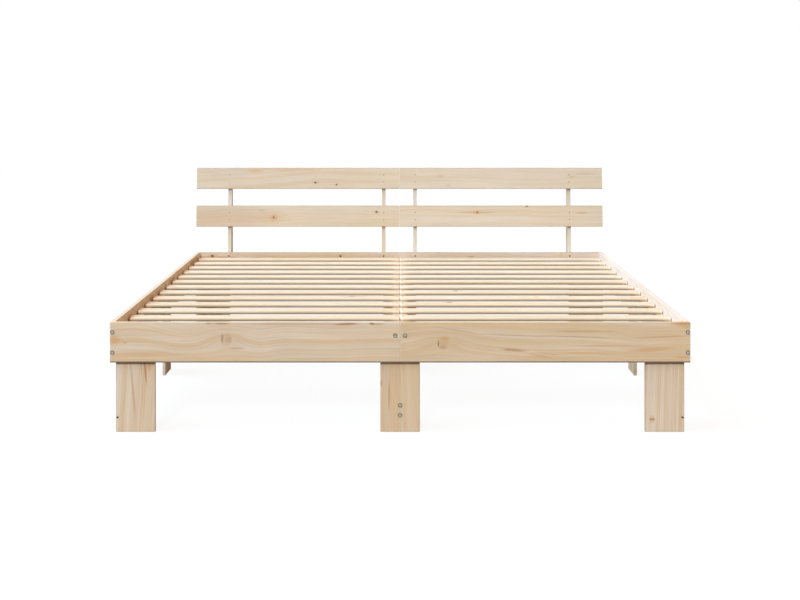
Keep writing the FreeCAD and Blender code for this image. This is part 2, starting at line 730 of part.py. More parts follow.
def bolts_and_nuts():
    """The bolts of the corners, the beam and the ribs, and the barrel nuts of the first two."""
    corner_bolts = []
    corner_nuts = []
    beam_bolts = []
    beam_nuts = []
    rib_bolts = []
    for _, sign in SIDES:
        turn = Rotation(Vector(0, 1, 0), QUARTER_TURN * sign)
        for height in corner_bolt_heights:
            corner_bolts += end_bolt_places(side_middle * sign, height)
            nut_face = (side_middle - nut_length / 2) * sign
            corner_nuts += [(nut_face, row, height, turn) for row in nut_rows]
        beam_bolts += end_bolt_places(beam_bolt_side * sign, bearer_middle)
        nut_face = bearer_middle - nut_length / 2
        beam_nuts += [(beam_bolt_side * sign, row, nut_face, Rotation()) for row in nut_rows]
    for outer, inward in centre_leg_faces.values():
        seat = outer - dim.bolt_head_height * inward
        rib_bolts += [(zero, seat, height, towards("Y", inward)) for height in rib_bolt_heights]
    long_bolt = bolt("long_bolt", dim.rail_thickness + dim.bolt_reach)
    nut = barrel_nut("barrel_nut")
    group("corner_bolts", long_bolt, corner_bolts)
    group("corner_barrel_nuts", nut, corner_nuts)
    group("beam_bolts", long_bolt, beam_bolts)
    group("beam_barrel_nuts", nut, beam_nuts)
    group("rib_bolts", bolt("rib_bolt", dim.leg_thickness + dim.rib_bolt_reach), rib_bolts)


def leg_screws():
    """The screws that join the leg boards to one another and to the rails."""
    joints = []
    fixings = []
    for _, sign in SIDES:
        for height in leg_joint_heights:
            joints.append((leg_joint_side * sign, foot_inner, height, towards("Y", 1)))
            joints.append((side_inner * sign, leg_joint_row, height, towards("X", -sign)))
        centre_place = [centre_leg_screw_side * sign]
        foot_places = across_places(sign, side_inner) + centre_place
        head_places = across_places(sign, leg_inner) + centre_place
        for height in leg_screw_heights:
            fixings += [(leg_inner * sign, row, height, towards("X", sign)) for row in side_board_screw_rows]
            fixings += [(x, foot_leg_back, height, towards("Y", -1)) for x in foot_places]
            fixings += [(x, head_leg_front, height, towards("Y", 1)) for x in head_places]
    for outer, inward in centre_leg_faces.values():
        joints.append((zero, outer, leg_joint_high, towards("Y", inward)))
    group("leg_joint_screws", screw("leg_joint_screw", dim.leg_thickness + dim.leg_joint_reach), joints)
    group("leg_screws", screw("leg_screw", dim.leg_thickness + rail_reach), fixings)


def base_screws():
    """The screws of the slats, the ledgers and the beam."""
    slat_places = []
    ledger_places = []
    for _, sign in SIDES:
        for x in slat_screw_sides:
            slat_places += [(x * sign, row, slat_top, towards("Z", -1)) for row in slat_middles]
        face = ledger_inner * sign
        ledger_places += [(face, row, bearer_middle, towards("X", sign)) for row in ledger_screw_rows]
    beam_places = [(zero, row, slat_under, towards("Z", -1)) for row in beam_screw_rows]
    group("slat_screws", screw("slat_screw", dim.slat_thickness + bearer_reach), slat_places)
    group("ledger_screws", screw("ledger_screw", dim.ledger_width + rail_reach), ledger_places)
    group("beam_screws", screw("beam_screw", dim.bearer_height + dim.beam_screw_reach), beam_places)


def headboard_screws():
    """The screws from the headboard's boards into the posts, and from the head rail into them."""
    board_places = []
    rail_places = []
    turn = QUARTER_TURN + dim.headboard_lean
    leaning = Rotation(Vector(-1, 0, 0), turn.value)
    sides = [offset * sign for offset in post_offsets.values() for _, sign in SIDES]
    steps = [start + step for start in (lower_board, upper_board) for step in headboard_screw_steps]
    for x in sides:
        rail_places += [(x, head_inner, height, towards("Y", 1)) for height in post_screw_heights]
        for along in steps:
            front = head_face + along * slope_out - dim.headboard_thickness * slope_up
            height = rail_top + along * slope_up + dim.headboard_thickness * slope_out
            board_places.append((x, front, height, leaning))
    pattern = screw("headboard_screw", dim.headboard_thickness + post_reach)
    cluster = group("headboard_screws", pattern, board_places)
    for copy in cluster.Links:
        copy.setExpression("Placement.Rotation.Angle", turn.text)
    group("post_screws", screw("post_screw", dim.rail_thickness + dim.post_screw_reach), rail_places)


for side, sign in SIDES:
    end_rail("foot", foot_face, foot_inner, 1, side, sign)
    end_rail("head", head_face, head_inner, -1, side, sign)
    side_rail(side, sign)
    foot_corner_leg(side, sign)
    head_corner_leg(side, sign)
    side_board(f"side_leg_{side}", sign, middle - dim.leg_width / 2)
    slat_ledger(side, sign)
    for name, start in (("lower", lower_board), ("upper", upper_board)):
        headboard_board(name, start, side, sign)
    for name, offset in post_offsets.items():
        headboard_post(name, offset, side, sign)
for end, (outer, inward) in centre_leg_faces.items():
    centre_leg(end, outer, inward)
centre_beam()
slats()
bolts_and_nuts()
leg_screws()
base_screws()
headboard_screws()
doc.recompute()

for item in doc.Objects:
    if "Invalid" in item.State or "Error" in item.State:
        raise RuntimeError(f"{item.Label} failed to build")
for feature, volume in cuts:
    removed = feature.BaseFeature.Shape.Volume - feature.Shape.Volume
    if removed < volume * DRILLED_SHARE:
        raise RuntimeError(f"{feature.Label} cuts {removed:.1f} of {volume:.1f} cubic millimetres")
for item in sub_parts:
    if item.Shape.isNull() or not item.Shape.isValid():
        raise RuntimeError(f"{item.Label} has no valid shape")

os.makedirs("parts", exist_ok=True)
for item in sub_parts:
    item.Shape.exportStep(f"parts/{item.Label}.step")
box = Part.makeCompound([item.Shape for item in sub_parts]).BoundBox
print(f"{len(sub_parts)} sub-parts, {box.XLength:.1f} x {box.YLength:.1f} x {box.ZLength:.1f} mm")
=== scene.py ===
"""Looks of a double bed frame in bare pine: the grain of every board, the bolt heads and a pale studio.

The frame holds the boards and fasteners at their real size, in metres. Each board gets its own pine, with
growth rings that run through the solid, so that faces, edges and ends agree. The bolts are modelled again
with rounded rims.
"""

import functools
import logging
import math
import random
from collections.abc import Iterator
from dataclasses import dataclass, field, fields, replace
from enum import Enum

import bpy
from mathutils import Color, Euler, Matrix, Vector


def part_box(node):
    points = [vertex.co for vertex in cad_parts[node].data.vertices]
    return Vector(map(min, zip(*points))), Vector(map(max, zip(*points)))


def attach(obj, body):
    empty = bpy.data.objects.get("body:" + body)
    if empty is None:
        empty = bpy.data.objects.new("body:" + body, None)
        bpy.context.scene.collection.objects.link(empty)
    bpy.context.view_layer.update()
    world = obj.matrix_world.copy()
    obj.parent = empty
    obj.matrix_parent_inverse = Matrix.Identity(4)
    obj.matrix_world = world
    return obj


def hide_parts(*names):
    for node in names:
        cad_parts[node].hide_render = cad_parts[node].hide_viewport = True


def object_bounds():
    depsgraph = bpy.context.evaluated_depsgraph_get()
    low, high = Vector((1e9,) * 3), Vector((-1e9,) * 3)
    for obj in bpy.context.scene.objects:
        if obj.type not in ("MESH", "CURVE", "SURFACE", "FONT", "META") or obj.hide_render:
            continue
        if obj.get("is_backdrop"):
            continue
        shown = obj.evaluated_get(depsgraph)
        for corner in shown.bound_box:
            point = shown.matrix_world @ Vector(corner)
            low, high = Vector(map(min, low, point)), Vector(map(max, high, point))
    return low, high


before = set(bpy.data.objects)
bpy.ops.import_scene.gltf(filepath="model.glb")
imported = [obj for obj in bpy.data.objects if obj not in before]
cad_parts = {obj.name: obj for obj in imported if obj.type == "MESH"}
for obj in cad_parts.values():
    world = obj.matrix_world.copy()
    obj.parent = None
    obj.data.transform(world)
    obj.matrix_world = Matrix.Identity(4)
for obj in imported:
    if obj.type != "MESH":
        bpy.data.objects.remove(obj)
cad_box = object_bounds()

log = logging.getLogger("pine_bed")

Socket = bpy.types.NodeSocket
Outputs = bpy.types.bpy_prop_collection
Tree = bpy.types.NodeTree
Material = bpy.types.Material
Piece = bpy.types.Object
Colour = tuple[float, float, float, float]
Triple = tuple[float, float, float]
Span = tuple[float, float]
Labels = dict[str, tuple[str, ...]]

FLOAT = "NodeSocketFloat"
VECTOR = "NodeSocketVector"
COLOUR = "NodeSocketColor"
SIDES = ("left", "right")
RIM_SHARE = "rim_share"
FULL_CHANNEL = 255
WHITE = (1.0, 1.0, 1.0, 1.0)
NOISE_MEAN = 0.5
QUARTER_TURN = math.pi / 2


def shade(red: int, green: int, blue: int) -> Colour:
    """A colour for a shader from its screen values.

    Args:
        red: Red from 0 to 255, as seen on a screen.
        green: Green from 0 to 255.
        blue: Blue from 0 to 255.

    Returns:
        The linear colour with full opacity.
    """
    screen = Color((red / FULL_CHANNEL, green / FULL_CHANNEL, blue / FULL_CHANNEL))
    return (*screen.from_srgb_to_scene_linear(), 1.0)


class KnotKind(Enum):
    """How a branch was held in the wood."""

    SOUND = "grown in, red-brown"
    DEAD = "loose, with a dark ring"
    FAINT = "only just cut by the face"


class StreakKind(Enum):
    """What colours a stretch of the grain."""

    RED = "reddish heartwood"
    AMBER = "resin"
    BARK = "bark grown in beside a knot"


class EdgeKind(Enum):
    """How a board's long edges were left, and how far painted shade lies along them."""

    SQUARE = "sawn square, no wear"
    # EASED: the uneven darker colour along the arrises is painted shade
    EASED = "sanded arrises, worn unevenly"
    # ROUNDED: the darkening towards the underside is painted shade
    ROUNDED = "rounded narrow edges, darker towards the underside"


@dataclass(frozen=True)
class Knot:
    """A knot on a board's face; places are metres from the middle of the face."""

    along: float
    across: float
    radius: float
    kind: KnotKind = KnotKind.SOUND
    stretch: float = 1.0


@dataclass(frozen=True)
class Streak:
    """A coloured stretch along the grain; places are metres from the middle of the face."""

    along: float
    across: float
    half_length: float
    half_width: float
    strength: float = 0.6
    kind: StreakKind = StreakKind.RED
    slope: float = 0.0


@dataclass(frozen=True)
class Bend:
    """A stretch where the grain bends, towards the pith or, with a negative reach, away from it."""

    along: float
    reach: float
    half_length: float


@dataclass(frozen=True)
class KnotColours:
    """The colours of one kind of knot, how strongly each covers the wood, and how soft its outline is."""

    core_colour: Colour
    rim_colour: Colour
    halo_colour: Colour
    core_strength: float
    rim_strength: float
    halo_strength: float
    blur: float


KNOT_COLOURS = {
    KnotKind.SOUND: KnotColours(shade(172, 106, 68), shade(126, 74, 46), shade(214, 166, 122),
                                core_strength=0.7, rim_strength=0.4, halo_strength=0.5, blur=0.1),
    KnotKind.DEAD: KnotColours(shade(112, 76, 52), shade(66, 42, 28), shade(206, 168, 126),
                               core_strength=0.9, rim_strength=0.85, halo_strength=0.4, blur=0.0),
    KnotKind.FAINT: KnotColours(shade(200, 166, 130), shade(184, 146, 108), shade(214, 186, 150),
                                core_strength=0.4, rim_strength=0.15, halo_strength=0.4, blur=0.35),
}
STREAK_COLOURS = {
    StreakKind.RED: shade(178, 121, 78),
    StreakKind.AMBER: shade(214, 160, 104),
    StreakKind.BARK: shade(134, 90, 54),
}
# How far the painted edge shade reaches from each kind of edge
EDGE_REACHES = {EdgeKind.SQUARE: 0.0001, EdgeKind.EASED: 0.0035, EdgeKind.ROUNDED: 0.012}


class Bench:
    """Adds and wires the nodes of one shader tree."""

    def __init__(self, tree: Tree) -> None:
        """Work on an existing tree; only a group has an entry and an exit of its own.

        Args:
            tree: The tree.
        """
        self.tree = tree
        self.entry: bpy.types.Node | None = None
        self.exit: bpy.types.Node | None = None

    @classmethod
    def group(cls, name: str, inputs: Labels, outputs: Labels) -> "Bench":
        """Start a new node group.

        Args:
            name: Name of the group.
            inputs: Names of the inputs under each socket type.
            outputs: Names of the outputs under each socket type.

        Returns:
            A bench on the group's tree, with its input and output nodes in place.
        """
        tree = bpy.data.node_groups.new(name, "ShaderNodeTree")
        for way, sockets in (("INPUT", inputs), ("OUTPUT", outputs)):
            for kind, labels in sockets.items():
                for label in labels:
                    tree.interface.new_socket(label, in_out=way, socket_type=kind)
        bench = cls(tree)
        bench.entry = bench.add("NodeGroupInput")
        bench.exit = bench.add("NodeGroupOutput")
        return bench

    def add(self, kind: str, **settings: object) -> bpy.types.Node:
        """Add a node of one kind with its settings.

        Args:
            kind: Blender's name of the node.
            **settings: Properties to set on it.

        Returns:
            The new node.
        """
        node = self.tree.nodes.new(kind)
        for name, value in settings.items():
            setattr(node, name, value)
        return node

    def feed(self, socket: Socket, value: object) -> None:
        """Link a socket to another one, or set its value.

        Args:
            socket: The input to feed.
            value: A socket to link, or a number, vector or colour to set.
        """
        if isinstance(value, Socket):
            self.tree.links.new(value, socket)
        else:
            socket.default_value = value

    def source(self, label: str) -> Socket:
        """One of the group's own inputs."""
        return self.entry.outputs[label]

    def give(self, label: str, value: Socket) -> None:
        """Link a value to one of the group's outputs."""
        self.feed(self.exit.inputs[label], value)

    def use(self, group: Tree, *records: object, **links: object) -> Outputs:
        """Place a node group and feed each of its inputs by its name, so half_length feeds Half Length.

        Args:
            group: The group's tree.
            *records: Records whose fields feed the inputs that no link feeds.
            **links: Sockets and values by name. What neither gives comes from this group's own inputs.

        Returns:
            The outputs of the placed group.
        """
        node = self.add("ShaderNodeGroup", node_tree=group)
        for socket in node.inputs:
            name = socket.name.lower().replace(" ", "_")
            holder = next((record for record in records if hasattr(record, name)), None)
            if name in links:
                self.feed(socket, links[name])
            elif holder is not None:
                self.feed(socket, getattr(holder, name))
            else:
                self.feed(socket, self.source(socket.name))
        return node.outputs

    def math(self, operation: str, *values: object) -> Socket:
        """A number worked out from up to three numbers.

        Args:
            operation: Blender's name of the operation.
            *values: Numbers and sockets, in the operation's order.

        Returns:
            The result.
        """
        node = self.add("ShaderNodeMath", operation=operation)
        for socket, value in zip(node.inputs, values):
            self.feed(socket, value)
        return node.outputs[0]

    def total(self, *values: object) -> "Socket | float":
        """The sum of several numbers, or the only one."""
        return functools.reduce(functools.partial(self.math, "ADD"), values)

    def product(self, *values: object) -> "Socket | float":
        """The product of several numbers."""
        return functools.reduce(functools.partial(self.math, "MULTIPLY"), values)

    def less(self, first: object, second: object) -> Socket:
        """The first number less the second one."""
        return self.math("SUBTRACT", first, second)

    def share(self, part: Socket, whole: object) -> Socket:
        """One number divided by another."""
        return self.math("DIVIDE", part, whole)

    def line(self, value: Socket, slope: object, start: object) -> Socket:
        """A straight line over a number, from its start at zero."""
        return self.math("MULTIPLY_ADD", value, slope, start)

    def distance(self, first: Socket, second: Socket) -> Socket:
        """The root of the sum of two squares."""
        return self.math("SQRT", self.total(self.product(first, first), self.product(second, second)))

    def bell(self, value: Socket, sharpness: float) -> Socket:
        """A bell curve of height 1 about zero."""
        return self.math("EXPONENT", self.product(value, value, -sharpness))

    def vector(self, operation: str, first: object, second: object) -> Socket:
        """A vector worked out from two vectors.

        Args:
            operation: Blender's name of the operation.
            first: A vector or a socket.
            second: Another one.

        Returns:
            The result.
        """
        node = self.add("ShaderNodeVectorMath", operation=operation)
        self.feed(node.inputs[0], first)
        self.feed(node.inputs[1], second)
        return node.outputs["Vector"]

    def split(self, vector: Socket) -> tuple[Socket, ...]:
        """Take a vector apart.

        Args:
            vector: The vector.

        Returns:
            Its three numbers.
        """
        node = self.add("ShaderNodeSeparateXYZ")
        self.feed(node.inputs[0], vector)
        return tuple(node.outputs)

    def join(self, *numbers: object) -> Socket:
        """Put a vector together.

        Args:
            *numbers: Its three numbers.

        Returns:
            The vector.
        """
        node = self.add("ShaderNodeCombineXYZ")
        for socket, value in zip(node.inputs, numbers):
            self.feed(socket, value)
        return node.outputs[0]

    def step(self, value: Socket, start: object, end: object) -> Socket:
        """A smooth step from 0 to 1.

        Args:
            value: The number it follows.
            start: Where it is 0.
            end: Where it is 1, which may be the smaller one.

        Returns:
            The step.
        """
        node = self.add("ShaderNodeMapRange", interpolation_type="SMOOTHSTEP")
        for label, number in (("Value", value), ("From Min", start), ("From Max", end)):
            self.feed(node.inputs[label], number)
        return node.outputs["Result"]

    def noise(self, place: Socket, scale: Triple, detail: float = 2.0, roughness: float = 0.5) -> Socket:
        """Soft noise about 0.5 in space.

        Args:
            place: Where it is read, in metres.
            scale: How fast it changes along each axis.
            detail: How many finer layers it has.
            roughness: How strong the finer layers are.

        Returns:
            The noise.
        """
        node = self.add("ShaderNodeTexNoise", noise_dimensions="3D")
        self.feed(node.inputs["Vector"], self.vector("MULTIPLY", place, scale))
        for label, value in (("Scale", 1.0), ("Detail", detail), ("Roughness", roughness)):
            self.feed(node.inputs[label], value)
        return node.outputs["Fac"]

    def line_noise(self, value: Socket, detail: float = 2.0) -> Socket:
        """Soft noise about 0.5 over a single number.

        Args:
            value: Where it is read.
            detail: How many finer layers it has.

        Returns:
            The noise.
        """
        node = self.add("ShaderNodeTexNoise", noise_dimensions="1D")
        for label, number in (("W", value), ("Scale", 1.0), ("Detail", detail)):
            self.feed(node.inputs[label], number)
        return node.outputs["Fac"]

    def sway(self, noise: Socket, reach: object) -> Socket:
        """Noise about zero that swings by half the reach to each side."""
        return self.product(self.less(noise, NOISE_MEAN), reach)

    def mix(self, factor: object, first: object, second: object, blend: str = "MIX") -> Socket:
        """A colour between two colours.

        Args:
            factor: 0 for the first colour, 1 for the second one.
            first: The colour below.
            second: The colour laid over it.
            blend: Blender's name of the way they mix.

        Returns:
            The mixed colour.
        """
        node = self.add("ShaderNodeMix", data_type="RGBA", blend_type=blend)
        wanted = {"Factor_Float": factor, "A_Color": first, "B_Color": second}
        for socket in node.inputs:
            if socket.identifier in wanted:
                self.feed(socket, wanted[socket.identifier])
        return next(socket for socket in node.outputs if socket.identifier == "Result_Color")

    def ramp(self, value: Socket, stops: tuple[Span, ...]) -> Socket:
        """A number that follows a given curve.

        Args:
            value: The number it follows, from 0 to 1.
            stops: Pairs of place and height along the curve.

        Returns:
            The height.
        """
        node = self.add("ShaderNodeValToRGB")
        elements = node.color_ramp.elements
        while len(elements) < len(stops):
            elements.new(1.0)
        for element, (place, height) in zip(elements, stops):
            element.position = place
            element.color = (height, height, height, 1.0)
        self.feed(node.inputs["Fac"], value)
        return node.outputs["Color"]


@dataclass(frozen=True)
class GrowthRings:
    """Growth rings about a pith that wanders along the board."""

    wander_rate: float = 1.3
    wander_reach: float = 0.05
    wander_shift: float = 31.7
    ripple_scale: Triple = (2.6, 11.0, 11.0)
    ripple_reach: float = 0.009
    fine_ripple_scale: Triple = (9.0, 55.0, 55.0)
    fine_ripple_reach: float = 0.0012
    uneven_rate: float = 0.37
    uneven_reach: float = 1.6
    band_rate: float = 0.3
    weakest_year: float = 0.35

    # Latewood darkens slowly through a year's growth and stops short at the next one
    YEAR_CURVE = ((0.0, 0.05), (0.4, 0.15), (0.7, 0.7), (0.84, 1.0), (0.93, 0.65), (1.0, 0.05))

    def build(self) -> Tree:
        """Build the group.

        Returns:
            A group that gives the latewood, a tone for each year and slow bands of years.
        """
        bench = Bench.group(
            "growth_rings",
            {VECTOR: ("Coordinates", "Pith", "Drift"), FLOAT: ("Ring Width", "Seed", "Bulge")},
            {FLOAT: ("Latewood", "Year Tone", "Band")})
        seed = bench.source("Seed")
        years = bench.share(self._radius(bench), bench.source("Ring Width"))
        uneven = bench.line_noise(bench.line(years, self.uneven_rate, seed), detail=1.0)
        years = bench.total(years, bench.sway(uneven, self.uneven_reach))
        dice = bench.add("ShaderNodeTexWhiteNoise", noise_dimensions="1D")
        bench.feed(dice.inputs["W"], bench.total(bench.math("FLOOR", years), seed))
        tone = dice.outputs["Value"]
        profile = bench.ramp(bench.math("FRACT", years), self.YEAR_CURVE)
        strength = bench.line(tone, 1.0 - self.weakest_year, self.weakest_year)
        bench.give("Latewood", bench.product(profile, strength))
        bench.give("Year Tone", tone)
        bench.give("Band", bench.line_noise(bench.line(years, self.band_rate, seed)))
        return bench.tree

    def _radius(self, bench: Bench) -> Socket:
        """How far a point lies from the pith.

        Args:
            bench: Bench on the group.

        Returns:
            The distance, rippled and pushed aside by knots and bends.
        """
        place = bench.source("Coordinates")
        seed = bench.source("Seed")
        along, *here = bench.split(place)
        _, *pith = bench.split(bench.source("Pith"))
        _, *drift = bench.split(bench.source("Drift"))
        path = bench.line(along, self.wander_rate, seed)
        offsets = []
        for index in range(2):
            wander = bench.line_noise(bench.total(path, self.wander_shift * index))
            offset = bench.less(here[index], bench.line(along, drift[index], pith[index]))
            offsets.append(bench.total(offset, bench.sway(wander, self.wander_reach)))
        shifted = bench.vector("ADD", place, bench.join(seed, 0.0, 0.0))
        ripple = bench.sway(bench.noise(shifted, self.ripple_scale), self.ripple_reach)
        fine_ripple = bench.sway(bench.noise(shifted, self.fine_ripple_scale), self.fine_ripple_reach)
        return bench.total(bench.distance(*offsets), ripple, fine_ripple, bench.source("Bulge"))


@dataclass(frozen=True)
class WoodFibre:
    """Fine fibres and short resin canals along the grain."""

    fibre_scale: Triple = (9.0, 520.0, 520.0)
    fibre_roughness: float = 0.6
    fleck_scale: Triple = (34.0, 1300.0, 1300.0)
    fleck_span: Span = (0.72, 0.84)

    def build(self) -> Tree:
        """Build the group.

        Returns:
            A group that gives the fibres and a mask of the canals.
        """
        bench = Bench.group("wood_fibre", {VECTOR: ("Coordinates",), FLOAT: ("Seed",)},
                            {FLOAT: ("Fibre", "Fleck")})
        shift = bench.join(bench.source("Seed"), 0.0, 0.0)
        place = bench.vector("ADD", bench.source("Coordinates"), shift)
        fibre = bench.noise(place, self.fibre_scale, detail=3.0, roughness=self.fibre_roughness)
        bench.give("Fibre", fibre)
        bench.give("Fleck", bench.step(bench.noise(place, self.fleck_scale, detail=0.0), *self.fleck_span))
        return bench.tree


@dataclass(frozen=True)
class EdgeLightAndShade:
    """Masks for painted light and shade on a board's edges: shade along its long edges and its lower edge,
    a highlight round its ends.
    """

    uneven_scale: Triple = (40.0, 40.0, 40.0)
    uneven_reach: float = 0.8
    lower_reach: float = 0.0065
    lower_full: float = 0.003

    def build(self) -> Tree:
        """Build the group.

        Returns:
            A group that gives a mask for each kind of edge.
        """
        bench = Bench.group("edge_wear",
                            {VECTOR: ("Outline", "Half Sizes"), FLOAT: ("Edge Reach", "Arris Only")},
                            {FLOAT: ("Long Edges", "End Edges", "Lower Edges")})
        outline = bench.source("Outline")
        half_sizes = bench.source("Half Sizes")
        arris_only = bench.source("Arris Only")
        inside = bench.vector("ABSOLUTE", outline, (0.0, 0.0, 0.0))
        long_gap, wide_gap, thin_gap = bench.split(bench.vector("SUBTRACT", half_sizes, inside))
        _, low_gap, under_gap = bench.split(bench.vector("ADD", half_sizes, outline))
        uneven = bench.sway(bench.noise(outline, self.uneven_scale), self.uneven_reach)
        reach = bench.product(bench.source("Edge Reach"), bench.line(uneven, arris_only, 1.0))
        face_gap = bench.line(bench.less(thin_gap, under_gap), arris_only, under_gap)
        # Painted shade along the long edges, measured from the underside where Arris Only is 0
        bench.give("Long Edges", bench.step(bench.math("MAXIMUM", wide_gap, face_gap), reach, 0.0))
        side_gap = bench.math("MINIMUM", wide_gap, thin_gap)
        # Painted highlight round the ends
        bench.give("End Edges", bench.step(bench.math("MAXIMUM", long_gap, side_gap), reach, 0.0))
        lower_gap = bench.math("MAXIMUM", low_gap, thin_gap)
        # Painted shade along the lower edge
        bench.give("Lower Edges", bench.step(lower_gap, self.lower_reach, self.lower_full))
        return bench.tree


@dataclass(frozen=True)
class KnotMasks:
    """The outline of one knot, in shares of its radius, and its push on the growth rings."""

    uneven_scale: Triple = (150.0, 150.0, 60.0)
    uneven_reach: float = 0.7
    core_span: Span = (1.1, 0.7)
    rim_rise: Span = (0.62, 0.95)
    rim_fall: Span = (1.3, 1.0)
    halo_stretch: float = 2.6
    halo_span: Span = (2.4, 0.7)
    halo_uneven_reach: float = 0.8
    push_share: float = 1.3
    push_sharpness: float = 0.35

    def build(self) -> Tree:
        """Build the group.

        Returns:
            A group that gives masks of the core, the rim and the halo, and the push.
        """
        bench = Bench.group(
            "knot",
            {VECTOR: ("Coordinates",), FLOAT: ("Along", "Across", "Radius", "Stretch", "Blur")},
            {FLOAT: ("Core", "Rim", "Halo", "Bulge")})
        place = bench.source("Coordinates")
        radius = bench.source("Radius")
        blur = bench.source("Blur")
        along, across, _ = bench.split(place)
        along = bench.share(bench.less(along, bench.source("Along")), bench.source("Stretch"))
        across = bench.less(across, bench.source("Across"))
        rough = bench.noise(place, self.uneven_scale)
        near = bench.share(bench.distance(along, across), radius)
        near = bench.total(near, bench.sway(rough, self.uneven_reach))
        core_start, core_end = self.core_span
        bench.give("Core", bench.step(near, bench.total(core_start, blur), bench.less(core_end, blur)))
        bench.give("Rim", bench.product(bench.step(near, *self.rim_rise), bench.step(near, *self.rim_fall)))
        far = bench.share(bench.distance(bench.share(along, self.halo_stretch), across), radius)
        halo = bench.total(far, bench.sway(rough, self.halo_uneven_reach))
        bench.give("Halo", bench.step(halo, *self.halo_span))
        bench.give("Bulge", bench.product(bench.bell(far, self.push_sharpness), radius, self.push_share))
        return bench.tree


@dataclass(frozen=True)
class KnotLayers:
    """A knot's halo, core and rim, laid over the wood in this order."""

    layers: tuple[str, ...] = ("Halo", "Core", "Rim")

    def build(self) -> Tree:
        """Build the group.

        Returns:
            A group that gives the wood's colour with the knot on it.
        """
        colours = [f"{layer} Colour" for layer in self.layers]
        strengths = [f"{layer} Strength" for layer in self.layers]
        bench = Bench.group("knot_paint", {COLOUR: ("Colour", *colours), FLOAT: (*self.layers, *strengths)},
                            {COLOUR: ("Colour",)})
        colour = bench.source("Colour")
        for layer in self.layers:
            cover = bench.product(bench.source(layer), bench.source(f"{layer} Strength"))
            colour = bench.mix(cover, colour, bench.source(f"{layer} Colour"))
        bench.give("Colour", colour)
        return bench.tree


@dataclass(frozen=True)
class GrainStreak:
    """One long stretch that frays along the fibres."""

    fray_scale: Triple = (14.0, 260.0, 260.0)
    fray_reach: float = 0.9
    span: Span = (1.15, 0.25)

    def build(self) -> Tree:
        """Build the group.

        Returns:
            A group that gives a mask of the stretch.
        """
        places = ("Along", "Across", "Half Length", "Half Width", "Slope")
        bench = Bench.group("grain_streak", {VECTOR: ("Coordinates",), FLOAT: places}, {FLOAT: ("Streak",)})
        place = bench.source("Coordinates")
        along, across, _ = bench.split(place)
        along = bench.less(along, bench.source("Along"))
        across = bench.less(across, bench.line(along, bench.source("Slope"), bench.source("Across")))
        reach = bench.distance(bench.share(along, bench.source("Half Length")),
                               bench.share(across, bench.source("Half Width")))
        fray = bench.sway(bench.noise(place, self.fray_scale, detail=3.0), self.fray_reach)
        bench.give("Streak", bench.step(bench.total(reach, fray), *self.span))
        return bench.tree


@dataclass(frozen=True)
class GrainBend:
    """One bend in the grain."""

    sharpness: float = 1.0

    def build(self) -> Tree:
        """Build the group.

        Returns:
            A group that gives the bend's push on the growth rings.
        """
        bench = Bench.group("grain_bend",
                            {VECTOR: ("Coordinates",), FLOAT: ("Along", "Reach", "Half Length")},
                            {FLOAT: ("Bulge",)})
        along, _, _ = bench.split(bench.source("Coordinates"))
        share = bench.share(bench.less(along, bench.source("Along")), bench.source("Half Length"))
        bench.give("Bulge", bench.product(bench.bell(share, self.sharpness), bench.source("Reach")))
        return bench.tree


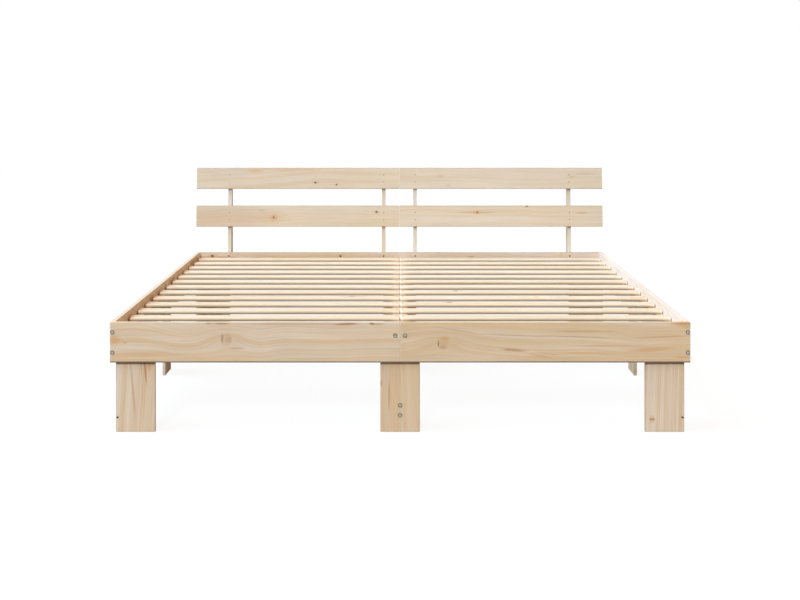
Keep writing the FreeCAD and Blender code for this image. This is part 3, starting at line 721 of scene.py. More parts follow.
@dataclass(frozen=True)
class PlanedPine:
    """The whole board: rings, zones of heartwood, fibres, end grain, and painted light and shade on its
    edges.
    """

    zone_scale: Triple = (0.9, 13.0, 13.0)
    zone_span: Span = (0.3, 0.75)
    band_reach: float = 0.7
    even_warmth: float = 0.5
    fade_scale: Triple = (1.6, 15.0, 15.0)
    fade_span: Span = (0.38, 0.6)
    fade_floor: float = 0.3
    blotch_scale: Triple = (5.0, 26.0, 26.0)
    blotch_reach: float = 0.16
    year_reach: float = 0.04
    fibre_reach: float = 0.22
    fleck_depth: float = 0.12
    end_span: Span = (0.55, 0.85)
    end_depth: float = 0.14
    edge_cover: float = 0.6
    roughness: float = 0.52
    fibre_roughness: float = 0.16
    end_roughness: float = 0.15
    latewood_gloss: float = 0.08
    latewood_height: float = 0.5

    def build(self, rings: Tree, fibre: Tree, wear: Tree) -> Tree:
        """Build the group.

        Args:
            rings: The growth rings.
            fibre: The fibres.
            wear: The painted light and shade on the edges.

        Returns:
            A group that gives the board's colour, roughness and height.
        """
        # Long Edge and Lower Edge are colours of painted shade, End Edge the colour of a painted highlight
        bench = Bench.group(
            "planed_pine",
            {VECTOR: ("Coordinates", "Outline", "Facing", "Half Sizes", "Pith", "Drift"),
             FLOAT: ("Ring Width", "Seed", "Bulge", "Warmth", "Contrast", "Edge Reach", "Arris Only",
                     "Lower Wear"),
             COLOUR: ("Sapwood", "Heartwood", "Latewood", "Long Edge", "End Edge", "Lower Edge")},
            {COLOUR: ("Colour",), FLOAT: ("Roughness", "Height")})
        seed = bench.source("Seed")
        place = bench.vector("ADD", bench.source("Coordinates"), bench.join(seed, seed, 0.0))
        years = bench.use(rings)
        threads = bench.use(fibre)
        facing, _, _ = bench.split(bench.source("Facing"))
        ends = bench.step(bench.math("ABSOLUTE", facing), *self.end_span)
        light = self._light(bench, place, years, threads)
        light = bench.less(light, bench.product(ends, self.end_depth))
        wood = self._wood(bench, place, years)
        colour = bench.mix(1.0, wood, bench.join(light, light, light), "MULTIPLY")
        bench.give("Colour", self._worn(bench, colour, bench.use(wear)))
        rough = bench.line(threads["Fibre"], self.fibre_roughness, self.roughness)
        rough = bench.less(rough, bench.product(years["Latewood"], self.latewood_gloss))
        bench.give("Roughness", bench.line(ends, self.end_roughness, rough))
        bench.give("Height", bench.line(years["Latewood"], self.latewood_height, threads["Fibre"]))
        return bench.tree

    def _wood(self, bench: Bench, place: Socket, years: Outputs) -> Socket:
        """Colour sapwood, heartwood and latewood.

        Args:
            bench: Bench on the group.
            place: Where the noise is read.
            years: Outputs of the growth rings.

        Returns:
            The colour of the wood.
        """
        warmth = bench.less(bench.source("Warmth"), self.even_warmth)
        band = bench.sway(years["Band"], self.band_reach)
        zone = bench.total(bench.noise(place, self.zone_scale), warmth, band)
        heart = bench.step(zone, *self.zone_span)
        colour = bench.mix(heart, bench.source("Sapwood"), bench.source("Heartwood"))
        fade = bench.step(bench.noise(place, self.fade_scale, detail=1.0), *self.fade_span)
        fade = bench.line(fade, 1.0 - self.fade_floor, self.fade_floor)
        late = bench.product(years["Latewood"], bench.source("Contrast"), fade)
        return bench.mix(late, colour, bench.source("Latewood"))

    def _light(self, bench: Bench, place: Socket, years: Outputs, threads: Outputs) -> Socket:
        """Vary the brightness by blotches, years, fibres and canals.

        Args:
            bench: Bench on the group.
            place: Where the noise is read.
            years: Outputs of the growth rings.
            threads: Outputs of the fibres.

        Returns:
            A factor about 1 for the colour.
        """
        blotch = bench.sway(bench.noise(place, self.blotch_scale, detail=3.0), self.blotch_reach)
        year = bench.sway(years["Year Tone"], self.year_reach)
        thread = bench.sway(threads["Fibre"], self.fibre_reach)
        fleck = bench.product(threads["Fleck"], self.fleck_depth)
        return bench.less(bench.total(blotch, 1.0, year, thread), fleck)

    def _worn(self, bench: Bench, colour: Socket, masks: Outputs) -> Socket:
        """Lay the painted light and shade of the edges over the wood.

        Args:
            bench: Bench on the group.
            colour: Colour of the wood.
            masks: Outputs of the painted edge light and shade.

        Returns:
            The colour with its painted edge light and shade.
        """
        for edge in ("Long Edge", "End Edge"):
            cover = bench.product(masks[f"{edge}s"], self.edge_cover)
            colour = bench.mix(cover, colour, bench.source(edge))
        # Painted shade along the lower edge
        cover = bench.product(masks["Lower Edges"], bench.source("Lower Wear"))
        return bench.mix(cover, colour, bench.source("Lower Edge"))


class PineEffects:
    """The node groups that all boards share, each built once."""

    def __init__(self) -> None:
        """Build the groups."""
        self.knot = KnotMasks().build()
        self.knot_paint = KnotLayers().build()
        self.streak = GrainStreak().build()
        self.bend = GrainBend().build()
        self.pine = PlanedPine().build(GrowthRings().build(), WoodFibre().build(), EdgeLightAndShade().build())


@dataclass(frozen=True)
class PineStock:
    """The colours of one batch of pine."""

    sapwood: Colour = shade(229, 213, 194)
    heartwood: Colour = shade(221, 193, 157)
    latewood: Colour = shade(203, 163, 122)
    # Painted shade along the arrises
    long_edge: Colour = shade(158, 130, 100)
    # Painted highlight round the ends
    end_edge: Colour = shade(244, 231, 212)
    # Painted shade along the lower edge
    lower_edge: Colour = shade(104, 80, 56)

    def tinted(self, red: float, green: float, blue: float) -> "PineStock":
        """The same stock from another log.

        Args:
            red: Scale of the red channel.
            green: Scale of the green channel.
            blue: Scale of the blue channel.

        Returns:
            The stock with every colour scaled.
        """
        scales = (red, green, blue, 1.0)
        tints = []
        for entry in fields(self):
            colour = getattr(self, entry.name)
            tints.append(tuple(channel * scale for channel, scale in zip(colour, scales)))
        return PineStock(*tints)


PLAIN_STOCK = PineStock()
EVEN_STOCK = replace(PLAIN_STOCK, sapwood=shade(227, 208, 185), heartwood=shade(223, 198, 165))
HEADBOARD_STOCK = EVEN_STOCK.tinted(0.92, 0.975, 1.04)
POST_STOCK = PLAIN_STOCK.tinted(0.92, 1.03, 1.18)
HEAD_RAIL_STOCK = PLAIN_STOCK.tinted(0.88, 0.9, 0.95)
# Foot rails: lighter painted shade on the arrises and a greyer painted shade on the lower edge
FOOT_RAIL_STOCK = replace(PLAIN_STOCK, long_edge=shade(204, 177, 146), lower_edge=shade(112, 97, 82))
LEG_STOCK = PLAIN_STOCK.tinted(1.02, 1.02, 1.03)
# Slats: dark painted shade on the lower part of the front edge, and a painted highlight round the ends
SLAT_STOCK = PineStock(sapwood=shade(231, 216, 195), heartwood=shade(227, 206, 178),
                       latewood=shade(209, 179, 144), long_edge=shade(130, 103, 71),
                       end_edge=shade(252, 240, 226))
# Right side rail: paler, cooler stock as painted light on its lit inner face and top, and lighter painted
# shade on its arrises
LIT_RAIL_STOCK = replace(PLAIN_STOCK, long_edge=shade(226, 210, 190)).tinted(1.03, 1.06, 1.15)
# Centre beam: brighter stock as painted light on the top that shows between the slats
LIT_BEAM_STOCK = PLAIN_STOCK.tinted(1.2, 1.2, 1.26)
# Right middle leg: brighter, warmer stock as painted light on its lit inner face
LIT_LEG_STOCK = PLAIN_STOCK.tinted(1.08, 1.03, 0.94)


@dataclass(frozen=True)
class PineFinish:
    """How one board was cut from its log, and what marks its faces.

    The pith is given across the face and behind it, the drift is how far the pith moves for each metre.
    """

    seed: float
    pith_across: float = 0.0
    pith_depth: float = -0.06
    drift_across: float = 0.0
    drift_depth: float = 0.02
    ring_width: float = 0.005
    warmth: float = 0.5
    contrast: float = 0.55
    knots: tuple[Knot, ...] = ()
    streaks: tuple[Streak, ...] = ()
    bends: tuple[Bend, ...] = ()
    stock: PineStock = PLAIN_STOCK

    # What a grown board draws from
    SEED_CYCLE = 97
    KNOT_SHARES = (0.92, 0.75)
    KNOT_RADII = (0.003, 0.009)
    KNOT_STRETCHES = (1.0, 1.6)
    PITH_REACH = 0.03
    PITH_DEPTHS = (0.03, 0.1)
    DRIFT_REACH = 0.03
    RING_WIDTHS = (0.0035, 0.006)
    WARMTHS = (0.35, 0.62)
    CONTRASTS = (0.4, 0.6)

    @property
    def pith(self) -> Triple:
        """Where the pith crosses the middle of the board."""
        return (0.0, self.pith_across, self.pith_depth)

    @property
    def drift(self) -> Triple:
        """How the pith moves along the board."""
        return (0.0, self.drift_across, self.drift_depth)

    @classmethod
    def grown(cls, seed: int, half_length: float, half_width: float, knot_count: int,
              stock: PineStock) -> "PineFinish":
        """A board with a pith, a drift and knots drawn from its seed.

        Args:
            seed: Seed of the draw, which also shifts the pattern.
            half_length: Half the length over which its knots spread, in metres.
            half_width: Half the width over which they spread.
            knot_count: How many knots its faces show.
            stock: Colours of its log.

        Returns:
            The finish of that board.
        """
        draw = random.Random(seed)
        kinds = list(KnotKind)
        along_share, across_share = cls.KNOT_SHARES
        knots = []
        for _ in range(knot_count):
            along = draw.uniform(-along_share, along_share) * half_length
            across = draw.uniform(-across_share, across_share) * half_width
            radius = draw.uniform(*cls.KNOT_RADII)
            knots.append(Knot(along, across, radius, draw.choice(kinds), draw.uniform(*cls.KNOT_STRETCHES)))
        return cls(
            seed=float(seed % cls.SEED_CYCLE),
            pith_across=draw.uniform(-cls.PITH_REACH, cls.PITH_REACH),
            pith_depth=draw.choice((-1, 1)) * draw.uniform(*cls.PITH_DEPTHS),
            drift_across=draw.uniform(-cls.DRIFT_REACH, cls.DRIFT_REACH),
            drift_depth=draw.uniform(-cls.DRIFT_REACH, cls.DRIFT_REACH),
            ring_width=draw.uniform(*cls.RING_WIDTHS),
            warmth=draw.uniform(*cls.WARMTHS),
            contrast=draw.uniform(*cls.CONTRASTS),
            knots=tuple(knots),
            stock=stock)


@dataclass
class Board:
    """One board of the frame, lying where its node is, and the pine that it is cut from.

    The grain runs along the longest side. A paired board is two slats in line that share a node.
    """

    node: str
    finish: PineFinish
    lean: float = 0.0
    paired: bool = False
    edge: EdgeKind = EdgeKind.EASED
    # How strongly painted shade darkens the lower edge
    lower_wear: float = 0.0
    centre: Vector = field(init=False)
    half_sizes: Vector = field(init=False)
    turn: Euler = field(init=False)

    # Each slat of a pair is moved outwards in the pattern by this much, so that the two differ
    PAIR_SHIFT = 0.63
    BUMP_DEPTH = 0.0002
    SPECULAR_LEVEL = 0.15

    def __post_init__(self) -> None:
        """Find the board's middle, half sizes and grain direction from its node."""
        low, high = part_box(self.node)
        size = high - low
        order = sorted(range(3), key=lambda axis: -size[axis])
        along, across = (Vector(float(axis == wanted) for axis in range(3)) for wanted in order[:2])
        self.centre = (low + high) / 2
        self.half_sizes = Vector(size[axis] / 2 for axis in order)
        if self.lean:
            self._lean_back(size)
            across = Vector((0.0, math.sin(self.lean), math.cos(self.lean)))
        if self.paired:
            self.half_sizes.x /= 2
        self.turn = Matrix((along, across, along.cross(across))).transposed().to_euler()

    @classmethod
    def grown(cls, node: str, seed: int, knot_count: int, stock: PineStock = PLAIN_STOCK,
              paired: bool = False, edge: EdgeKind = EdgeKind.EASED) -> "Board":
        """A board whose cut and knots are drawn from a seed.

        Args:
            node: Name of the board's node.
            seed: Seed of the draw.
            knot_count: How many knots its faces show.
            stock: Colours of its log.
            paired: Whether the node holds two slats in line.
            edge: How its long edges were left, and how far painted shade lies along them.

        Returns:
            The board.
        """
        low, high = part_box(node)
        longest, middle, _ = sorted(high - low, reverse=True)
        finish = PineFinish.grown(seed, longest / 2, middle / 2, knot_count, stock)
        return cls(node, finish, paired=paired, edge=edge)

    @property
    def edge_reach(self) -> float:
        """How far the painted edge light and shade reaches from an edge."""
        return EDGE_REACHES[self.edge]

    @property
    def arris_only(self) -> float:
        """1 where painted shade lies on both faces of an arris, 0 where it darkens an edge from the
        underside up.
        """
        return 0.0 if self.edge is EdgeKind.ROUNDED else 1.0

    def _lean_back(self, size: Vector) -> None:
        """Take the height and thickness of a leaning board out of its upright box.

        Args:
            size: Size of the box.
        """
        sine = math.sin(self.lean)
        cosine = math.cos(self.lean)
        spread = cosine ** 2 - sine ** 2
        height = (size.z * cosine - size.y * sine) / spread
        thickness = (size.y * cosine - size.z * sine) / spread
        self.half_sizes = Vector((size.x, height, thickness)) / 2

    def _seen_from(self, bench: Bench, start: Vector, vector: Socket) -> Socket:
        """Turn a vector into the board's own directions.

        Args:
            bench: Bench on the board's material.
            start: Point that the vector is measured from.
            vector: The vector in the frame.

        Returns:
            The vector along the grain, across it and through the board.
        """
        mapping = bench.add("ShaderNodeMapping", vector_type="TEXTURE")
        for label, value in (("Vector", vector), ("Location", start), ("Rotation", self.turn)):
            bench.feed(mapping.inputs[label], value)
        return mapping.outputs["Vector"]

    def _places(self, bench: Bench) -> tuple[Socket, Socket, Socket]:
        """Read where a point lies on the board.

        Args:
            bench: Bench on the board's material.

        Returns:
            The place in the pattern, the place in the outline, and the way that the surface faces.
        """
        source = bench.add("ShaderNodeTexCoord")
        place = self._seen_from(bench, self.centre, source.outputs["Object"])
        facing = self._seen_from(bench, Vector(), source.outputs["Normal"])
        if not self.paired:
            return place, place, facing
        along, across, depth = bench.split(place)
        apart = bench.line(bench.math("SIGN", along), self.PAIR_SHIFT, along)
        folded = bench.less(bench.math("ABSOLUTE", along), self.half_sizes.x)
        return bench.join(apart, across, depth), bench.join(folded, across, depth), facing

    def material(self, effects: PineEffects) -> Material:
        """Build the board's own pine.

        Args:
            effects: The node groups that all boards share.

        Returns:
            The material, ready for the node's slot.
        """
        finish = self.finish
        material = bpy.data.materials.new(f"{self.node}_pine")
        material.use_nodes = True
        bench = Bench(material.node_tree)
        shader = material.node_tree.nodes["Principled BSDF"]
        pattern, outline, facing = self._places(bench)
        paints = [KNOT_COLOURS[knot.kind] for knot in finish.knots]
        knots = [bench.use(effects.knot, knot, paint, coordinates=pattern)
                 for knot, paint in zip(finish.knots, paints)]
        bends = [bench.use(effects.bend, bend, coordinates=pattern) for bend in finish.bends]
        bulge = bench.total(0.0, *(push["Bulge"] for push in knots + bends))
        wood = bench.use(effects.pine, finish, finish.stock, self, coordinates=pattern, outline=outline,
                         facing=facing, bulge=bulge)
        colour = wood["Colour"]
        for masks, paint in zip(knots, paints):
            layers = {layer: masks[layer.title()] for layer in ("core", "rim", "halo")}
            colour = bench.use(effects.knot_paint, paint, colour=colour, **layers)["Colour"]
        for streak in finish.streaks:
            mask = bench.use(effects.streak, streak, coordinates=pattern)["Streak"]
            colour = bench.mix(bench.product(mask, streak.strength), colour, STREAK_COLOURS[streak.kind])
        bump = bench.add("ShaderNodeBump")
        bump.inputs["Distance"].default_value = self.BUMP_DEPTH
        bench.feed(bump.inputs["Height"], wood["Height"])
        shader.inputs["Specular IOR Level"].default_value = self.SPECULAR_LEVEL
        bench.feed(shader.inputs["Base Color"], colour)
        bench.feed(shader.inputs["Roughness"], wood["Roughness"])
        bench.feed(shader.inputs["Normal"], bump.outputs["Normal"])
        return material

    def dress(self, effects: PineEffects) -> None:
        """Put the board's own pine on its node and report it."""
        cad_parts[self.node].material_slots[0].material = self.material(effects)
        log.info("%s: pine with %d knots", self.node, len(self.finish.knots))


@dataclass
class BoardSet:
    """A sub-assembly of boards, which keep the frame's shapes and get their own pine."""

    def boards(self) -> Iterator[Board]:
        """Every board of the set."""
        raise NotImplementedError

    def dress(self, effects: PineEffects) -> None:
        """Dress the boards one by one."""
        for board in self.boards():
            board.dress(effects)


@dataclass
class RailBox(BoardSet):
    """The six boards of the outer box; foot and head rails meet in the middle."""

    # Strength of the painted shade on the rails' lower edges
    lower_wear: float = 0.8
    left_seed: int = 41
    right_seed: int = 47
    side_knots: int = 5
    knot_half_length: float = 1.0
    knot_half_width: float = 0.07
    pale_warmth: float = 0.25
    pale_contrast: float = 0.3
    patch_count: int = 17
    patch_span: float = 0.98
    patch_shift: float = 0.05
    patch_heights: Span = (0.044, 0.05)
    patch_half_lengths: Span = (0.04, 0.11)
    patch_half_width: float = 0.022
    patch_strengths: Span = (0.15, 0.65)

    PATCH_KINDS = (StreakKind.RED, StreakKind.RED, StreakKind.AMBER)

    def boards(self) -> Iterator[Board]:
        """The foot and head rails with painted shade on their lower edges, the left side rail with red
        patches and the right one in paler stock as painted light.

        Yields:
            One board after the other.
        """
        for node, finish in (self._foot_rails() | self._head_rails()).items():
            yield Board(node, finish, lower_wear=self.lower_wear)
        spread = (self.knot_half_length, self.knot_half_width, self.side_knots)
        red = PineFinish.grown(self.left_seed, *spread, PLAIN_STOCK)
        yield Board("side_rail_left", self._reddened(red))
        pale = PineFinish.grown(self.right_seed, *spread, LIT_RAIL_STOCK)
        yield Board("side_rail_right", replace(pale, warmth=self.pale_warmth, contrast=self.pale_contrast))

    def _foot_rails(self) -> dict[str, PineFinish]:
        """Give each foot rail the marks on its face.

        Returns:
            The finish of each rail under its node.
        """
        left = PineFinish(
            seed=3.0, pith_across=0.11, pith_depth=-0.06, drift_across=0.02, drift_depth=0.03,
            ring_width=0.0085, warmth=0.5, contrast=0.42, stock=FOOT_RAIL_STOCK,
            knots=(Knot(-0.1, 0.012, 0.019, KnotKind.FAINT, 0.85),),
            bends=(Bend(-0.24, -0.013, 0.12), Bend(0.02, -0.006, 0.05)),
            streaks=(Streak(-0.116, 0.013, 0.006, 0.02, 0.42, StreakKind.BARK),
                     Streak(-0.092, 0.01, 0.014, 0.012, 0.3),
                     Streak(-0.0645, -0.02, 0.034, 0.0035, 0.4),
                     Streak(-0.165, 0.067, 0.014, 0.004, 0.55),
                     Streak(-0.118, 0.067, 0.036, 0.004, 0.8),
                     Streak(0.322, 0.0645, 0.055, 0.0055, 0.85, slope=0.06),
                     Streak(0.414, 0.0665, 0.013, 0.0045, 0.85, StreakKind.BARK, -0.15),
                     Streak(0.435, 0.065, 0.03, 0.004, 0.5),
                     Streak(-0.5, 0.009, 0.032, 0.017, 0.6, StreakKind.AMBER),
                     Streak(-0.46, 0.0, 0.008, 0.005, 0.4),
                     Streak(0.17, 0.066, 0.28, 0.007, 0.25),
                     Streak(-0.39, -0.04, 0.14, 0.012, 0.35, StreakKind.AMBER)))
        right = PineFinish(
            seed=11.0, pith_across=0.14, pith_depth=-0.05, drift_across=-0.02, drift_depth=0.02,
            ring_width=0.0075, warmth=0.72, contrast=0.5, stock=FOOT_RAIL_STOCK,
            knots=(Knot(-0.364, -0.001, 0.019, KnotKind.FAINT, 0.9),),
            bends=(Bend(-0.33, 0.014, 0.16), Bend(0.5, 0.01, 0.12)),
            streaks=(Streak(-0.378, -0.004, 0.003, 0.013, 0.7, StreakKind.BARK),
                     Streak(-0.353, 0.013, 0.017, 0.009, 0.6, StreakKind.AMBER),
                     Streak(-0.362, -0.017, 0.016, 0.01, 0.3),
                     Streak(-0.112, -0.027, 0.055, 0.006, 0.6, slope=-0.08),
                     Streak(-0.02, -0.047, 0.05, 0.006, 0.5, StreakKind.AMBER, -0.2),
                     Streak(0.01, -0.04, 0.045, 0.004, 0.5, StreakKind.AMBER, -0.15),
                     Streak(0.37, -0.0255, 0.1, 0.0095, 0.55, StreakKind.AMBER, 0.06),
                     Streak(0.49, 0.063, 0.065, 0.013, 0.7, StreakKind.AMBER, -0.12),
                     Streak(0.495, 0.068, 0.05, 0.005, 0.45),
                     Streak(0.485, -0.053, 0.035, 0.006, 0.55, StreakKind.AMBER),
                     Streak(-0.3, 0.041, 0.1, 0.0028, 0.4, slope=-0.156),
                     Streak(-0.115, 0.025, 0.16, 0.0032, 0.4, slope=-0.043),
                     Streak(0.14, 0.039, 0.14, 0.0042, 0.35),
                     Streak(0.12, 0.0195, 0.18, 0.0032, 0.4, slope=-0.037),
                     Streak(0.42, 0.02, 0.15, 0.0032, 0.35, slope=0.036),
                     Streak(0.2, -0.0125, 0.14, 0.0038, 0.35),
                     Streak(0.14, -0.037, 0.18, 0.0042, 0.4, StreakKind.AMBER, -0.02)))
        return {"foot_rail_left": left, "foot_rail_right": right}

    def _head_rails(self) -> dict[str, PineFinish]:
        """Give each head rail the marks that show above the slats.

        Returns:
            The finish of each rail under its node.
        """
        left = PineFinish(
            seed=19.0, pith_across=0.02, pith_depth=0.07, warmth=0.55, stock=HEAD_RAIL_STOCK,
            knots=(Knot(-0.433, 0.053, 0.006, KnotKind.DEAD), Knot(0.215, 0.053, 0.005, KnotKind.DEAD)),
            streaks=(Streak(-0.4, 0.045, 0.12, 0.01, 0.5),))
        right = PineFinish(
            seed=27.0, pith_across=-0.02, pith_depth=0.06, stock=HEAD_RAIL_STOCK,
            knots=(Knot(0.306, 0.057, 0.006, KnotKind.FAINT),),
            streaks=(Streak(-0.15, 0.05, 0.025, 0.004, 0.6),))
        return {"head_rail_left": left, "head_rail_right": right}

    def _reddened(self, finish: PineFinish) -> PineFinish:
        """Add red and amber patches along the upper part of a side rail: partly heartwood, partly painted
        shade for its inner face above the slats.

        Args:
            finish: The rail's finish, whose seed also draws the patches.

        Returns:
            The finish with its patches.
        """
        draw = random.Random(int(finish.seed))
        patches = []
        for index in range(self.patch_count):
            middle = 2 * (index + 0.5) / self.patch_count - 1
            along = (middle + draw.uniform(-self.patch_shift, self.patch_shift)) * self.patch_span
            across = draw.uniform(*self.patch_heights)
            half_length = draw.uniform(*self.patch_half_lengths)
            strength = draw.uniform(*self.patch_strengths)
            kind = draw.choice(self.PATCH_KINDS)
            patches.append(Streak(along, across, half_length, self.patch_half_width, strength, kind))
        return replace(finish, streaks=tuple(patches))


@dataclass
class LegSet(BoardSet):
    """The legs: two boards at each corner, one at each side and a crossed pair along the middle."""

    plain_knots: int = 1
    plain_seed: int = 53
    plain_seed_step: int = 5
    heart_seed: int = 113
    # Red streak over the left middle leg's faces: painted shade, darker and warmer than its wood
    heart: Streak = Streak(-0.05, 0.02, 0.4, 0.09, 1.0)
    warm_seed: int = 119

    def boards(self) -> Iterator[Board]:
        """The faces towards the foot end, the plain boards, then the legs at the sides: the left one
        darkened by painted shade, the right one brightened by painted light.

        Yields:
            One board after the other.
        """
        for node, finish in self._front_faces().items():
            yield Board(node, finish)
        for index, node in enumerate(self._plain_nodes()):
            yield Board.grown(node, self.plain_seed + self.plain_seed_step * index, self.plain_knots)
        left = Board.grown("side_leg_left", self.heart_seed, self.plain_knots)
        # The streak is painted shade on the left middle leg
        left.finish = replace(left.finish, streaks=(self.heart,))
        yield left
        yield Board.grown("side_leg_right", self.warm_seed, self.plain_knots, LIT_LEG_STOCK)

    def _front_faces(self) -> dict[str, PineFinish]:
        """Give each face towards the foot end its own marks.

        Returns:
            The finish of each face under its node.
        """
        left = PineFinish(
            seed=5.0, pith_across=0.17, pith_depth=0.03, drift_across=0.03, ring_width=0.0075, warmth=0.58,
            stock=LEG_STOCK,
            streaks=(Streak(0.05, 0.0345, 0.055, 0.0038, 0.75, slope=-0.095),
                     Streak(0.06, 0.021, 0.03, 0.003, 0.35),
                     Streak(0.07, 0.049, 0.04, 0.012, 0.5, StreakKind.AMBER),
                     Streak(-0.018, -0.0095, 0.12, 0.006, 0.4, slope=-0.087)))
        centre = PineFinish(
            seed=23.0, pith_across=-0.16, pith_depth=0.03, ring_width=0.007, warmth=0.6, stock=LEG_STOCK,
            streaks=(Streak(-0.031, -0.039, 0.075, 0.005, 0.45), Streak(0.006, -0.068, 0.015, 0.004, 0.7)))
        right = PineFinish(
            seed=31.0, pith_across=0.15, pith_depth=0.05, ring_width=0.006, warmth=0.52, contrast=0.4,
            stock=LEG_STOCK, knots=(Knot(-0.123, -0.0485, 0.0038), Knot(-0.123, -0.0395, 0.003)))
        return {"foot_left_leg_face": left, "foot_centre_leg_face": centre, "foot_right_leg_face": right}

    def _plain_nodes(self) -> list[str]:
        """List the boards that are drawn from seeds.

        Returns:
            Their nodes, in the order of their seeds.
        """
        nodes = [f"foot_{side}_leg_return" for side in SIDES]
        nodes += [f"head_{side}_leg_{board}" for side in SIDES for board in ("face", "return")]
        nodes += [f"{end}_centre_leg_{board}" for end in ("mid", "head") for board in ("face", "rib")]
        return nodes + ["foot_centre_leg_rib"]


@dataclass
class SlattedBase(BoardSet):
    """The slats in two halves, with the beam and the ledgers that carry them."""

    rows: int = 13
    row_knots: int = 1
    row_seed: int = 200
    row_seed_step: int = 11
    bearer_knots: int = 4
    beam_seed: int = 151
    ledger_seed: int = 160
    ledger_seed_step: int = 9

    def boards(self) -> Iterator[Board]:
        """Every row of slats as a pair, then the bearers.

        Yields:
            One board after the other.
        """
        for row in range(1, self.rows + 1):
            seed = self.row_seed + self.row_seed_step * row
            # Rounded slats carry painted shade on the lower part of their front edges
            yield Board.grown(f"slat_row_{row:02d}", seed, self.row_knots, SLAT_STOCK, paired=True,
                              edge=EdgeKind.ROUNDED)
        yield Board.grown("centre_beam", self.beam_seed, self.bearer_knots, LIT_BEAM_STOCK)
        for index, side in enumerate(SIDES):
            seed = self.ledger_seed + self.ledger_seed_step * index
            yield Board.grown(f"slat_ledger_{side}", seed, self.bearer_knots)


@dataclass
class Headboard(BoardSet):
    """Four boards that lean back on four posts."""

    lean_degrees: float = 5.5
    post_knots: int = 2
    post_seed: int = 301
    post_seed_step: int = 7
    post_contrast: float = 0.25

    def boards(self) -> Iterator[Board]:
        """The boards, turned to their lean, and the posts.

        Yields:
            One board after the other.
        """
        fronts = self._left_boards() | self._right_boards()
        for node, finish in fronts.items():
            yield Board(node, finish, lean=math.radians(self.lean_degrees))
        places = [f"{place}_{side}" for place in ("outer", "inner") for side in SIDES]
        for index, place in enumerate(places):
            seed = self.post_seed + self.post_seed_step * index
            post = Board.grown(f"headboard_post_{place}", seed, self.post_knots, POST_STOCK,
                               edge=EdgeKind.SQUARE)
            post.finish = replace(post.finish, contrast=self.post_contrast)
            yield post

    def _left_boards(self) -> dict[str, PineFinish]:
        """Give each board on the left the marks on its face.

        Returns:
            The finish of each board under its node.
        """
        upper = PineFinish(
            seed=7.0, pith_across=0.13, pith_depth=-0.05, drift_across=0.06, ring_width=0.006, warmth=0.44,
            contrast=0.35, stock=HEADBOARD_STOCK,
            knots=(Knot(0.089, -0.022, 0.0042, KnotKind.DEAD, 1.3),
                   Knot(0.196, -0.032, 0.0036, KnotKind.DEAD)),
            streaks=(Streak(-0.221, 0.038, 0.045, 0.016, 0.45, StreakKind.AMBER),
                     Streak(-0.03, 0.044, 0.2, 0.011, 0.3, StreakKind.AMBER)))
        lower = PineFinish(
            seed=13.0, pith_across=-0.12, pith_depth=-0.05, ring_width=0.006, warmth=0.48,
            stock=HEADBOARD_STOCK,
            knots=(Knot(-0.121, -0.0066, 0.0165, KnotKind.FAINT), Knot(-0.122, -0.0066, 0.006),
                   Knot(0.399, 0.021, 0.005, KnotKind.DEAD)),
            streaks=(Streak(-0.186, 0.031, 0.022, 0.004, 0.45), Streak(-0.35, 0.0, 0.28, 0.07, 0.2)))
        return {"headboard_upper_left": upper, "headboard_lower_left": lower}

    def _right_boards(self) -> dict[str, PineFinish]:
        """Give each board on the right the marks on its face.

        Returns:
            The finish of each board under its node.
        """
        upper = PineFinish(
            seed=17.0, pith_across=0.14, pith_depth=-0.05, ring_width=0.006, warmth=0.4,
            stock=HEADBOARD_STOCK,
            knots=(Knot(-0.308, 0.011, 0.006, KnotKind.FAINT), Knot(-0.268, -0.037, 0.004, KnotKind.FAINT),
                   Knot(0.36, 0.008, 0.006, KnotKind.FAINT)),
            streaks=(Streak(0.435, 0.024, 0.07, 0.008, 0.35, StreakKind.AMBER),))
        lower = PineFinish(
            seed=29.0, pith_across=-0.13, pith_depth=-0.05, ring_width=0.006, warmth=0.47, contrast=0.38,
            stock=HEADBOARD_STOCK,
            knots=(Knot(-0.121, 0.019, 0.006), Knot(0.131, 0.05, 0.004, KnotKind.DEAD)),
            streaks=(Streak(-0.16, 0.019, 0.07, 0.005, 0.35), Streak(-0.07, 0.018, 0.05, 0.005, 0.35),
                     Streak(0.412, 0.016, 0.04, 0.006, 0.45)))
        return {"headboard_upper_right": upper, "headboard_lower_right": lower}


